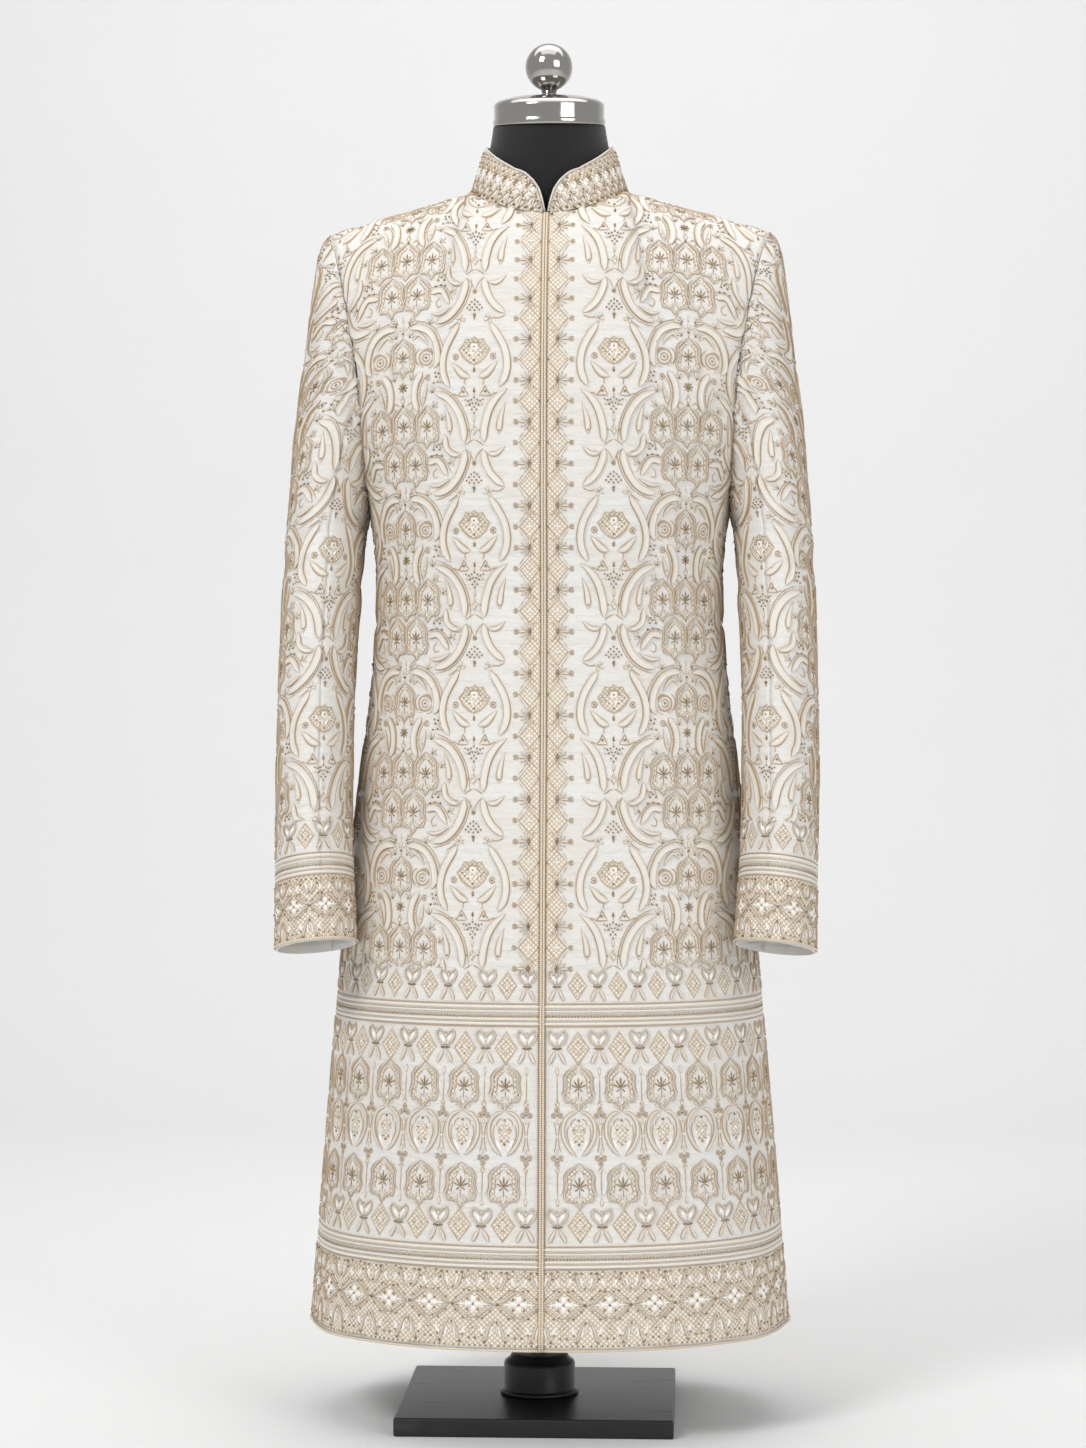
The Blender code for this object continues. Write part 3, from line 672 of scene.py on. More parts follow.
def strip(
    controls: Sequence[Point],
    width: float,
    section: Section = RIBBON,
    count: int = 14,
    start: float = END_SHARE,
    end: float = END_SHARE,
    lift: float = 1.0,
    finish: Finish = THREAD,
) -> Patch:
    """A ribbon or cord: a cross-section carried along a curve, narrowing at its ends.

    The half width is width / 2 times a sine of t / end near each end, which draws a point.

    Args:
        controls: Points that the ribbon's middle passes, in millimetres.
        width: Its full width in millimetres.
        section: The shape across it.
        count: How many cross-sections it has.
        start: Share of its length over which it narrows at its start.
        end: The same at its end.
        lift: Factor on the section's lifts.
        finish: What it is made of.

    Returns:
        The patch.
    """
    path = curve_through(controls, count)
    along = unit(np.gradient(path, axis=0))
    beside = np.stack([along[:, 1], -along[:, 0]], axis=1)
    t = np.linspace(0, 1, count)
    narrow = np.clip(np.minimum(t / max(start, 1e-6), (1 - t) / max(end, 1e-6)), 0, 1)
    half = width / 2 * np.maximum(np.sin(narrow * math.pi / 2) ** 0.8, 0.06)
    offsets = np.array(section.offsets)
    flat = path[:, None] + beside[:, None] * half[:, None, None] * offsets[None, :, None]
    rise = np.array(section.lifts) * lift
    rise = np.where(rise > 0, rise * np.clip(narrow + 0.35, 0, 1)[:, None], rise[None])
    points = np.concatenate([flat, rise[..., None]], axis=-1).reshape(-1, 3) * MM
    tones = np.tile(np.array(section.tones), count)
    faces = triangles(grid_faces(count, len(offsets)))
    return Patch(points, tones, faces, np.full(len(faces), int(finish)))


def domed(
    outline: Array,
    rings: Sequence[tuple[float, float, float]],
    finish: Finish = THREAD,
) -> Patch:
    """A filled shape: rings of an outline drawn in towards its middle, each at its own lift.

    Args:
        outline: The outline anticlockwise, in millimetres.
        rings: Share of the outline, lift in millimetres and tone of each ring; the last share
            is 0 for the middle.
        finish: What it is made of.

    Returns:
        The patch.
    """
    outline = np.asarray(outline, dtype=float)
    centre, count = outline.mean(axis=0), len(outline)
    points, tones = [], []
    for share, lift, tone in rings[:-1]:
        flat = centre + (outline - centre) * share
        points.append(np.concatenate([flat, np.full((count, 1), lift)], axis=1))
        tones.append(np.full(count, tone))
    points.append(np.array([[*centre, rings[-1][1]]]))
    tones.append(np.array([rings[-1][2]]))
    here = np.arange(count)
    there = (here + 1) % count
    faces = []
    for ring in range(len(rings) - 2):
        low, high = ring * count, (ring + 1) * count
        faces.append(np.stack([low + here, low + there, high + there], axis=1))
        faces.append(np.stack([low + here, high + there, high + here], axis=1))
    last = (len(rings) - 2) * count
    faces.append(np.stack([last + here, last + there, np.full(count, last + count)], axis=1))
    faces = np.concatenate(faces)
    return Patch(
        np.concatenate(points) * MM, np.concatenate(tones), faces, np.full(len(faces), int(finish))
    )


@dataclass(frozen=True)
class Stroke:
    """A ribbon or cord of a motif.

    Attributes:
        path: Points that its middle passes, in millimetres.
        width: Its width in millimetres.
        section: The shape across it.
        count: How many cross-sections it has.
        start: Share of its length over which it narrows at its start.
        end: The same at its end.
        echo: Distance of a fine line beside it, to the right of its run; 0 for none.
    """

    path: tuple[Point, ...]
    width: float
    section: Section = RIBBON
    count: int = 14
    start: float = END_SHARE
    end: float = END_SHARE
    echo: float = 0.0

    def patch(self) -> Patch:
        """The stroke as a patch, with its echo."""
        drawn = strip(self.path, self.width, self.section, self.count, self.start, self.end)
        if not self.echo:
            return drawn
        path = curve_through(self.path, ECHO_COUNT)
        along = unit(np.gradient(path, axis=0))
        beside = path + np.stack([along[:, 1], -along[:, 0]], axis=1) * self.echo
        return joined(drawn, strip(beside, ECHO_WIDTH, CORD, ECHO_COUNT, 0.05, 0.05))


def bead(x: float, y: float, radius: float = 0.9, finish: Finish = BEAD) -> Patch:
    """A round bead: a five-sided dome of two rings and a top."""
    a = np.arange(5) * math.pi / 2.5
    ring = np.stack([x + radius * np.cos(a), y + radius * np.sin(a)], axis=1)
    return domed(ring, ((1, 0.0, 0.5), (0.8, radius, 0.5), (0, radius * 1.5, 0.5)), finish)


def dots(radius: float, *places: Point) -> list[tuple[float, float, float]]:
    """Rows for beads of one radius at several places."""
    return [(x, y, radius) for x, y in places]


def petal(
    length: float, width: float, turn: float = 0.0, x: float = 0.0, y: float = 0.0,
    finish: Finish = THREAD, lift: float = 1.0, sides: int = 8, heart: float = 0.0,
) -> Patch:
    """A pointed oval; in thread, its outline is raised round a dished middle.

    Args:
        length: Its length in millimetres, along +Y before it is turned.
        width: Its width.
        turn: How far it is turned anticlockwise about its foot, in degrees.
        x: Where its foot lies.
        y: The same, up.
        finish: What it is made of.
        lift: Its height in millimetres.
        sides: How many corners its outline has.
        heart: The tone of its middle.

    Returns:
        The patch.
    """
    a = np.arange(sides) * 2 * math.pi / sides - math.pi / 2
    across = width / 2 * np.cos(a) * (0.75 + 0.25 * np.sin(a))
    outline = np.stack([across, length / 2 * (1 + np.sin(a))], axis=1)
    rings = ((1, 0, 0.5), (0.55, lift, 0.5), (0, lift * 1.2, 0.5))
    if finish == THREAD:
        # In thread, tone 1.0 on the sunken rim is the outline cord and also painted edge shade.
        rings = ((1, -0.1, 1.0), (0.7, lift, 0.5), (0, lift * 0.6, heart))
    return domed(outline, rings, finish).at(x, y, turn)


def ring(x: float, y: float, radius: float, width: float = 1.2, sides: int = 9) -> Patch:
    """A small closed ring of cord."""
    a = np.linspace(0, 2 * math.pi, sides)
    return strip([(x + radius * math.cos(v), y + radius * math.sin(v)) for v in a], width, CORD, sides, 0, 0)


def lozenge(half_width: float, half_height: float, x: float = 0.0, y: float = 0.0) -> Patch:
    """A diamond with a cord edge, an inner row and lattice filling."""
    corner = np.array([(half_width, 0), (0, half_height), (-half_width, 0), (0, -half_height)])
    outline = np.stack([corner, (corner + np.roll(corner, -1, axis=0)) / 2], 1).reshape(-1, 2)
    # Tone 0.9 on the sunken rim is the cord edge and also painted edge shade.
    rings = ((1, -0.1, 0.9), (0.93, 0.9, 0.5), (0.84, 0.4, 2.0), (0, 0.8, 2.0))
    return domed(outline, rings).moved(x, y)


def line(
    x: float, y: float, end_x: float, end_y: float, width: float = 1.1, count: int = 3,
    finish: Finish = THREAD,
) -> Patch:
    """A short straight cord between two places, with blunt ends."""
    return strip([(x, y), (end_x, end_y)], width, CORD, count, 0, 0, 1.0, finish)


def sewn(strokes: Sequence[Stroke] = (), **rows: Sequence[tuple[float, ...]]) -> Patch:
    """Sews strokes and small shapes as one patch.

    Args:
        strokes: The ribbons and cords.
        rows: Arguments for shapes of each kind: petals, beads, rings, lozenges and lines.

    Returns:
        The patch.
    """
    kinds = {"petals": petal, "beads": bead, "rings": ring, "lozenges": lozenge, "lines": line}
    return joined(
        *(stroke.patch() for stroke in strokes),
        *(kinds[kind](*row) for kind, several in rows.items() for row in several),
    )


def sprig() -> Patch:
    """Three small leaves fanned up from a bead."""
    leaves = [(length, 2.6, turn, 0, 0, THREAD, 1.3, 6) for length, turn in ((7.5, 0), (6, 46), (6, -46))]
    return sewn(petals=leaves, beads=[(0, 0, 1.0)])


def lotus(size: float = 1.0) -> Patch:
    """A dark beaded lotus: petals fanned up from a knot, two hanging, and a stem below."""
    fan = ((10.5, 2.3, 0), (9.0, 1.9, 30), (9.0, 1.9, -30), (8.0, 1.8, 64), (8.0, 1.8, -64),
           (5.6, 1.7, 128), (5.6, 1.7, -128))
    stem = (0, 0, 0, -11, 1.0, 3, BEAD)
    return sewn(petals=[(*row, 0, 0, BEAD, 0.9, 6) for row in fan], lines=[stem]).scaled(size)


def framed_lotus(w: float = 13.0, h: float = 21.5) -> Patch:
    """A lotus on bare silk in a lace frame: a pointed arch with two hanging lobes.

    Args:
        w: Half its width in millimetres.
        h: Half its height.

    Returns:
        The patch, its middle at the origin.
    """
    side = [
        (0, h), (w * 0.42, h * 0.78), (w * 0.88, h * 0.46), (w * 0.84, 0),
        (w * 1.04, -h * 0.36), (w * 0.84, -h * 0.66), (w * 0.4, -h * 0.62), (0, -h),
    ]
    right = joined(
        strip(side, 1.9, LEAF, 15, 0.04, 0.04),
        strip([(x * 0.8, y * 0.83) for x, y in side], w * 0.27, LACE, 9, 0.02, 0.02),
        strip([(x * 0.64, y * 0.68 + 0.6) for x, y in side[:6]], 0.9, CORD, 7, 0.05, 0.05),
        strip([(x * 1.16 + 0.6, y * 1.08) for x, y in side[1:5]], 1.1, CORD, 6, 0.1, 0.1),
        petal(h * 0.4, 3.4, -150, w * 0.14, -h * 0.4, THREAD, 1.5),
    )
    return joined(right.both_sides(), lotus(w / 13.0).moved(0, -h * 0.06))


@dataclass(frozen=True)
class Ornament:
    """The large motifs, drawn from ribbons, cords, leaves and beads, in millimetres.

    The origin of the medallion and of the field is the level where the ribbons pinch in.
    """

    shared_ribbons: tuple[Stroke, ...] = (
        Stroke(((25, 55), (31, 67), (32.5, 80), (29.5, 94), (22, 108), (15.5, 118)), 7.6, count=16),
        Stroke(((25, 9), (25.2, 18), (27, 28), (31, 40)), 7.6, LEAF, 10, 0.3, 0.9),
        Stroke(((13, -9), (22, -9.5), (31, -2)), 6.2, LEAF, 9, 0.3, 0.7),
        Stroke(((4, 65), (12, 68), (23, 80)), 8.8, LEAF, 11, 0.3, 0.7),
        Stroke(((6, 67), (10, 61), (8, 57)), 1.2, CORD, 5),
        Stroke(((0, 4.5), (5, 2), (9.5, -1.5)), 1.5, CORD, 5),
        Stroke(((9, -4), (3.6, -9.5), (0.8, -16)), 1.2, CORD, 6),
        Stroke(((5, 47), (10.5, 46.5), (16.5, 47), (13.2, 51), (11, 56.5), (8, 51), (5, 47)), 1.6, CORD, 13),
        Stroke(((16, 46.5), (20, 49), (24, 48)), 1.2, CORD, 5),
    )
    outer_ribbons: tuple[Stroke, ...] = (
        Stroke(((9.6, 1), (10.6, 16), (16, 32), (27, 45.5), (43, 52.5)), 7.8, count=16, end=0.2, echo=-5.8),
        Stroke(((9.2, -5), (9.6, -15), (16, -31), (27.5, -43), (43, -47.5)), 7.8, count=16, echo=5.8),
        Stroke(((8, -45), (15, -47), (22, -52), (27, -55)), 1.5, CORD, 7),
    )
    inner_ribbons: tuple[Stroke, ...] = (
        Stroke(((9.6, 1), (10.6, 16), (15, 33), (22.5, 45), (32.5, 53)), 7.8, count=15, end=0.35),
        Stroke(((9.2, -5), (11.5, -17), (18, -30), (30, -41)), 7.6, count=13, end=0.2),
        Stroke(((31, -42), (24, -45.5), (15, -44.5), (9, -43)), 1.6, CORD, 7),
    )
    field_ribbons: tuple[Stroke, ...] = (
        Stroke(((7, 116), (17, 117), (29, 111), (37, 98), (39, 84), (35, 75.5)), 7.8, count=17, echo=-6.4),
        Stroke(((11, 104), (16, 110), (23, 105), (27, 98)), 4.6, LEAF, 9, 0.4, 0.5),
        Stroke(((19, 96), (14, 91), (15, 82), (21, 78)), 1.6, CORD, 8),
        Stroke(((33, 90), (29, 95), (22, 94)), 1.6, CORD, 6),
        Stroke(((21.5, 73), (14.5, 61), (13, 46), (17, 34)), 7.4, count=12, echo=-5.6),
        Stroke(((27, 61), (24.5, 50), (22, 40)), 4.6, LEAF, 8, 0.6, 0.3),
        Stroke(((27, -17), (40, -15), (51, -30)), 7.0, count=11, end=0.3, echo=-5.2),
        Stroke(((29, -38), (40, -39), (53, -33)), 4.8, LEAF, 9, 0.3, 0.5),
        Stroke(((47.5, 11), (50, -4), (63, -12)), 6.2, count=11, start=0.3, end=0.2),
        Stroke(((33, 8), (36, 2), (33, -5)), 1.3, CORD, 5),
        Stroke(((4, 40), (8, 43), (11, 39), (8, 35)), 1.4, CORD, 7),
        Stroke(((38, -22), (34, -27), (36, -32), (41, -30)), 1.4, CORD, 7),
    )
    axis_beads: tuple[Point, ...] = (
        (0, -27), (-3, -29), (3, -29), (-5.2, -32), (5.2, -32), (0, -31.5), (-2.4, -34.5),
        (2.4, -34.5), (0, -37.5), (-7.4, -35), (7.4, -35), (-4.6, -37), (4.6, -37),
        (0, 45), (-3, 43), (3, 43), (-6, 42), (6, 42), (-1.6, 39.5), (1.6, 39.5), (-4.4, 38),
        (4.4, 38), (0, 36), (-2.4, 33.5), (2.4, 33.5), (0, 30.5),
    )
    sprigs: tuple[tuple[float, float, float], ...] = (
        (9, 66, -20), (33, 101, -70), (7, 108, -35), (33, 52, 10), (6.5, -46, -60), (28, -48, -20),
        (44, 25, -40), (40, 1, -110), (52, -18, -60), (34, 38, -50),
    )
    bead_triangle: tuple[Point, ...] = ((0, 0), (3, 5), (-3, 5), (0, 8), (5.5, -1), (-5.5, -1))
    border_step: float = 20.15

    def flower_head(self) -> Patch:
        """The six-sided flower head with its stepped top, dots and heart."""
        half = [(0, -15), (6, -12.5), (12, -7), (16.5, 1), (12, 6), (9, 12), (4, 11), (0, 14)]
        outline = half + [(-x, y) for x, y in half[-2:0:-1]]
        # Tone 0.9 on the sunken rim is the cord edge and also painted edge shade.
        rings = ((1, -0.1, 0.9), (0.93, 1.2, 0.5), (0.86, 0.3, 2.0), (0, 0.3, 2.0))
        steps = [(-8, 3.5), (-4.6, 3.5), (-4.2, 7.6), (0, 7.6), (4.2, 7.6), (4.6, 3.5), (8, 3.5)]
        middle = [(-3.6, 6.6), (-4, 3), (-2, 0.5), (2, 0.5), (4, 3), (3.6, 6.6), (0, 7)]
        return joined(
            domed(outline, rings),
            strip(steps, 1.7, CORD, 13, 0, 0, 1.9),
            domed(middle, ((1, 0.2, 0.0), (0.6, 0.9, 0.0), (0, 1.0, 0.0)), PEARL),
            sewn(
                beads=dots(1.3, (0, 3.6), (0, -9.5))
                + dots(0.9, (-8, -2), (8, -2), (-4.5, -4.5), (4.5, -4.5), (-10.5, 1), (10.5, 1)),
                petals=[(7.5, 3.2, 30, -0.6, -7.6, PEARL, 1.3), (7.5, 3.2, -30, 0.6, -7.6, PEARL, 1.3)],
            ),
        ).moved(0, 91)

    def medallion(self, inner_left: bool) -> Patch:
        """The whole medallion, its left side short where it faces the opening."""
        left = self.inner_ribbons if inner_left else self.outer_ribbons
        sides = sewn(
            self.shared_ribbons,
            rings=[(19, 85, 2.8, 1.7)],
            beads=[(19, 85, 1.1), (11, 51, 1.3), (25, 13, 1.2), (12, 71, 1.1), (8.8, 43, 0.9)],
            petals=[(7, 3.4, -120, 3, 41), *((5.6, 3.8, turn, 14.5, 122) for turn in (20, 110, 200, 290))],
        )
        axis = sewn(
            lozenges=[(3.4, 5.6, 0, 13.5)],
            lines=[(0, 19, 0, 30), (0, 50, 0, 46, 1.0)],
            rings=[(0, -18.5, 2.0, 1.5)],
            beads=[(0, -18.5, 1.1), (0, -42, 1.7), *dots(1.05, *self.axis_beads),
                   *dots(0.8, (-5.2, 13.5), (5.2, 13.5))],
            petals=[(6, 3.6, 180, 0, 75, BEAD), (5.5, 3.4, 180, 0, 55, BEAD),
                    (5, 2.4, 0, 0, 121, BEAD), (9, 4, 180, 0, 30)],
        )
        outer = sewn(self.outer_ribbons)
        return joined(sides.both_sides(), self.flower_head(), axis, outer, sewn(left).scaled(-1, 1))

    def field(self) -> Patch:
        """The field between two medallions: scrolls round lotuses, three over two."""
        triangles = [(x + along, y + up) for along, up in ((40, 62), (38, -9)) for x, y in self.bead_triangle]
        sides = sewn(
            self.field_ribbons,
            rings=[(25, 86.5, 7.4, 2.4, 13), (25, 86.5, 3.9, 1.7), (27.5, 67, 2.8, 1.5), (24, 34, 2.4, 1.5)],
            beads=[(25, 86.5, 1.2), (27.5, 67, 1.0), (23.5, 47, 1.0), (7.5, -48.5, 1.1), (36, 71, 1.1),
                   *dots(1.15, *triangles)],
            petals=[(7, 3.6, -60, 27, 76), (6, 3.2, 50, 22, 77), (8, 4, -30, 37, 60), (8, 4, 35, 43, 60),
                    (6, 3, -70, 14, 52), (6.5, 3.4, -38, 2, -54), (7, 3.4, -75, 9, 121)],
            lozenges=[(2.4, 4.2, 11, -43)],
        )
        frames = [framed_lotus().moved(27, 18), framed_lotus().moved(13.4, -19)]
        axis = sewn(
            petals=[(7.5, 3.6, 0, 0, -54), (7, 3, 180, 0, -39),
                    *((5.6, 1.9, turn, 0, 58, BEAD, 1.0, 6) for turn in range(0, 360, 45))],
            beads=[(0, -56, 1.5), (0, 40.5, 1.4), (0, 58, 1.6)],
            lozenges=[(2.6, 4.4, 0, 46)],
            lines=[(0, 69, 0, 64), (0, 52, 0, 49), (0, 105, 0, 112)],
        )
        sprigs = [sprig().at(*place) for place in self.sprigs]
        return joined(
            joined(sides, *frames, *sprigs).both_sides(), axis,
            framed_lotus(12.2, 20).moved(0, 87), framed_lotus().moved(0, 19),
        )

    def front_flower(self) -> Patch:
        """A starburst by the opening and the lozenge above it, from the starburst's centre."""
        y = self.border_step
        rays = ((-58, 10.6), (-122, 10.6), (-28, 10.2), (-152, 10.2), (0, 9.4), (180, 9.4), (34, 8.6), (146, 8.6))
        return sewn(
            [
                Stroke(((2, 0), (7, 0.2), (11.5, 0)), 3.4, LEAF, 7, 0.7, 0.3),
                Stroke(((-8.6, 9.6), (-3.8, 7.4), (-1.8, 0), (-3.8, -7.4), (-8.6, -9.6)), 1.5, CORD, 11),
            ],
            beads=[(0, 0, 1.6), (0, 2.7, 1.2), (0, -2.7, 1.2), (13.2, 0, 1.0), (0, y, 1.7, PEARL),
                   (13.6, y, 0.9), (-9.4, y, 1.1)],
            rings=[(13.2, 0, 2.3, 1.5), (13.6, y, 2.2, 1.5)],
            lozenges=[(10.6, 13.0, 0, y)],
            lines=[(9.8, y, 12, y, 1.0, 2), (10.6, 17.4, 4.6, 8.6, 0.8), (10.6, 22.9, 4.6, 31.7, 0.8)],
            petals=[(length, 2.3, turn, 0, 0, THREAD, 1.4, 6) for turn, length in rays],
        )

    def bud(self) -> Patch:
        """A tulip bud in a heart-shaped cup on a beaded knot, with two petals hanging."""
        cup = ((0.6, 2), (6.6, 6), (9.4, 12.5), (7.4, 17), (3, 14.2), (0.4, 10))
        side = sewn(
            [Stroke(cup, 2.0, LEAF, 13, 0.1, 0.2),
             Stroke(((1.2, -1.5), (4.2, -7), (7.6, -14.5)), 4.4, LEAF, 8, 0.5, 0.25)],
            petals=[(7, 2.4, -28, 0.8, 1.6), (11.5, 5.4, -26, 0.8, 2.6, PEARL, 1.3, 6)],
            beads=[(3.8, 0.4, 1.1)],
        )
        knot = dots(1.2, (0, 0), (-1.9, 0.2), (1.9, 0.2))
        return joined(side.both_sides(), sewn(beads=knot, lozenges=[(2.3, 3.6, 0, 12.5)], petals=[(6, 2.2, 0, 0, 2)]))

    def lotus_column(self) -> Patch:
        """The skirt's lotus column, its middle at the origin: lotus, paired scroll, lotus."""
        scroll = sewn(
            [
                Stroke(((1.0, 21), (8, 19), (14, 11), (14.6, -2), (9, -14), (2.2, -21)), 4.2, LEAF, 15),
                Stroke(((9.6, 9), (11, -1), (7, -12)), 1.2, CORD, 8),
                Stroke(((2, 15), (6.4, 12.5), (8, 7)), 1.2, CORD, 6),
            ],
            petals=[(13, 4.2, -30, 2.6, -17, PEARL, 0.8), (6, 2.6, -60, 1, 1), (8, 3, -58, 1, 23),
                    (9, 4, -140, 3, -37)],
            beads=[(4.4, 4, 1.0), (3.4, -7, 0.9)],
        )
        heart = [(0, -12), (5, -4), (7, 4), (4, 10), (0, 7), (-4, 10), (-7, 4), (-5, -4)]
        return joined(
            scroll.both_sides(), domed(heart, ((1, 0, 2.0), (0.6, 0.5, 2.0), (0, 0.6, 2.0))),
            sewn(beads=[(0, 0, 1.6, PEARL), (0, 13, 1.4), (0, -10, 1.2)],
                 petals=[(8, 2.6, 0, 0, 2), (7, 3.4, 180, 0, 28)]),
            framed_lotus(13.6, 22).moved(0, 44.5), framed_lotus(13.6, 22).moved(0, -49),
        )

    def bud_column(self) -> Patch:
        """The fine column between two lotus columns: pendant, stems, trefoils and a waist."""
        half = sewn(
            [Stroke(((x * 3.4, 15), (x * 1.6, 8), (x, 0)), 1.2, CORD, 6) for x in (1, -1)],
            lines=[(0, 58, 0, 27, 1.1, 5)],
            petals=[(9, 4.2, 0, 0, 57), (6, 2.8, 180, 0, 17)],
            rings=[(0, 25, 2.3, 1.5), (3.2, 20, 2.3, 1.5), (-3.2, 20, 2.3, 1.5)],
            beads=dots(0.95, (0, 25), (3.2, 20), (-3.2, 20), (0, 20.5)),
            lozenges=[(2.4, 4.0, 0, 31)],
        )
        return joined(half, half.scaled(1, -1), bead(0, 0, 1.3, PEARL))

    def border(self) -> Patch:
        """One repeat of the dense border: quatrefoil, crossing, shield above and arch below."""
        x = self.border_step
        side = sewn(
            [
                Stroke(((0, 13.5), (6, 10.5), (13, 4.5), (19.6, 0.4)), 2.4, LEAF, 9),
                Stroke(((0, -13.5), (6, -10.5), (13, -4.5), (19.6, -0.4)), 2.4, LEAF, 9),
                Stroke(((0, 19), (7, 14.5), (15, 8), (19.8, 3)), 1.2, CORD, 8),
                Stroke(((0, -17), (7, -14), (15, -8), (19.8, -3)), 1.2, CORD, 8),
                Stroke(((12.2, 33), (12.6, 25), (15.5, 17.5), (x, 13.5)), 2.4, LEAF, 9),
                Stroke(((11.8, -38), (14.6, -27), (17.4, -19), (x, -14)), 2.4, LEAF, 9),
                Stroke(((3, 33), (6.5, 27), (10.5, 33)), 1.3, CORD, 7),
            ],
            petals=[
                (10, 4.2, -28, 3, 17, PEARL), (11, 4.2, -160, 7, -21, PEARL), (11, 3.4, 12, 18.0, 17, PEARL),
                (13, 3.4, 172, 18.2, -20, PEARL), (9, 3.6, 90, 15.8, 0, PEARL, 1.1, 6), (8, 3.4, 28, 6, 20.5),
                (8, 3.4, -35, 5, -39), (6, 2.6, -35, 7.5, 24), (9, 2.4, 90, 20, 0, THREAD, 1.0, 6),
                (8, 2.2, 48, 20, 0, THREAD, 1.0, 6), (8, 2.2, 132, 20, 0, THREAD, 1.0, 6),
            ],
            beads=dots(1.6, (11.6, 31.5), (11.8, -37)) + [(5.6, 33, 1.1)]
            + dots(1.0, (2.5, -40.5), (7.5, -40.5), (12.5, -40.5), (17.5, -40.5))
            + dots(1.15, (4, 13.5), (16.6, 6.5), (4.2, -12), (16.6, -6.5), (9, 14.5), (9.4, -14))
            + dots(1.3, (9.6, 26), (9.4, -30), (16.8, 31.5), (3, -33)),
        )
        leaf = joined(petal(8.8, 8.0, finish=PEARL, lift=1.5), bead(5.2, 5.2, 1.3))
        axis = sewn(
            beads=[(0, 0, 1.4), (x, 0, 1.9), (x, 16.5, 1.2), (x, -17.5, 1.2), (0, -23.5, 1.1)],
            lozenges=[(5.0, 7.6, 0, -23.5), (3, 5, 0, 28)],
            petals=[(12, 3.4, 0, x, 17), (13, 3.4, 180, x, -18)],
        )
        return joined(*(leaf.turned(turn) for turn in (0, 90, 180, 270)), side.both_sides(), axis)

    def diamond(self) -> Patch:
        """The lozenge between two buds, with a smaller one inside it and beads."""
        beads = dots(0.8, (0, 5), (0, -5), (3.4, 0), (-3.4, 0))
        return sewn(lozenges=[(11.4, 16.6), (5.5, 8)], beads=[(0, 0, 1.4, PEARL), *beads])

    def collar_arch(self) -> Patch:
        """One repeat of the collar: an arch with dark beads at its foot, a lozenge above."""
        x = 6.75
        return sewn(
            [
                Stroke(((-6.2, 2.5), (-4, 9), (0, 16), (4, 9), (6.2, 2.5)), 1.9, LEAF, 13),
                Stroke(((-x, 26), (-3, 31), (0, 34), (3, 31), (x, 26)), 1.6, CORD, 9),
            ],
            beads=[(-x, 2.6, 1.7), (0, 4.2, 1.7), (0, 18, 1.3), (x, 20, 1.3), (0, 27, 1.1), (x, 33, 1.4),
                   *dots(1.0, (0, 43), (4.5, 42), (-4.5, 42)),
                   *dots(1.25, (-4.6, 10.5), (4.6, 10.5), (-2.3, 15), (2.3, 15), (3.4, 38.5), (-3.4, 38.5))],
            lozenges=[(3.2, 5.2, 0, 27)],
            petals=[
                (9, 3.8, 0, 0, 5.4, PEARL, 1.4), (8, 3.4, 0, x, 3.6, PEARL, 1.4),
                (13, 6.0, 0, x, 13.5, PEARL, 1.2), (7, 3.4, 0, 3.4, 22, PEARL, 1.4),
                (7, 3.4, 0, -3.4, 22, PEARL, 1.4), (7, 2.6, 0, 0, 35),
                *((8, 2.6, turn, 0, 15) for turn in (-30, 30)), *((8, 2.4, turn, x, 34) for turn in (-40, 40)),
                *((4.6, 1.8, turn, 0, 27, BEAD, 1.2, 6) for turn in range(0, 360, 60)),
                *((4.2, 1.7, turn, x, 8, BEAD, 1.4, 6) for turn in (0, 45, -45)),
            ],
        )


def tone(red: float, green: float, blue: float) -> Colour:
    """A colour as seen on a screen, from 0 to 255, as the linear numbers of a shader."""
    return tuple(((value / 255 + 0.055) / 1.055) ** 2.4 for value in (red, green, blue))


class Wire:
    """An output of a node; arithmetic on it adds Math nodes."""

    def __init__(self, graph: "Graph", socket: bpy.types.NodeSocket) -> None:
        """Keeps the socket and the graph that it belongs to."""
        self.graph, self.socket = graph, socket

    def __add__(self, other: "Wire | float") -> "Wire":
        """Sum."""
        return self.graph.maths("ADD", self, other)

    def __radd__(self, other: float) -> "Wire":
        """Sum with a number first."""
        return self.graph.maths("ADD", other, self)

    def __sub__(self, other: "Wire | float") -> "Wire":
        """Difference."""
        return self.graph.maths("SUBTRACT", self, other)

    def __rsub__(self, other: float) -> "Wire":
        """Difference with a number first."""
        return self.graph.maths("SUBTRACT", other, self)

    def __mul__(self, other: "Wire | float") -> "Wire":
        """Product."""
        return self.graph.maths("MULTIPLY", self, other)

    def __rmul__(self, other: float) -> "Wire":
        """Product with a number first."""
        return self.graph.maths("MULTIPLY", other, self)


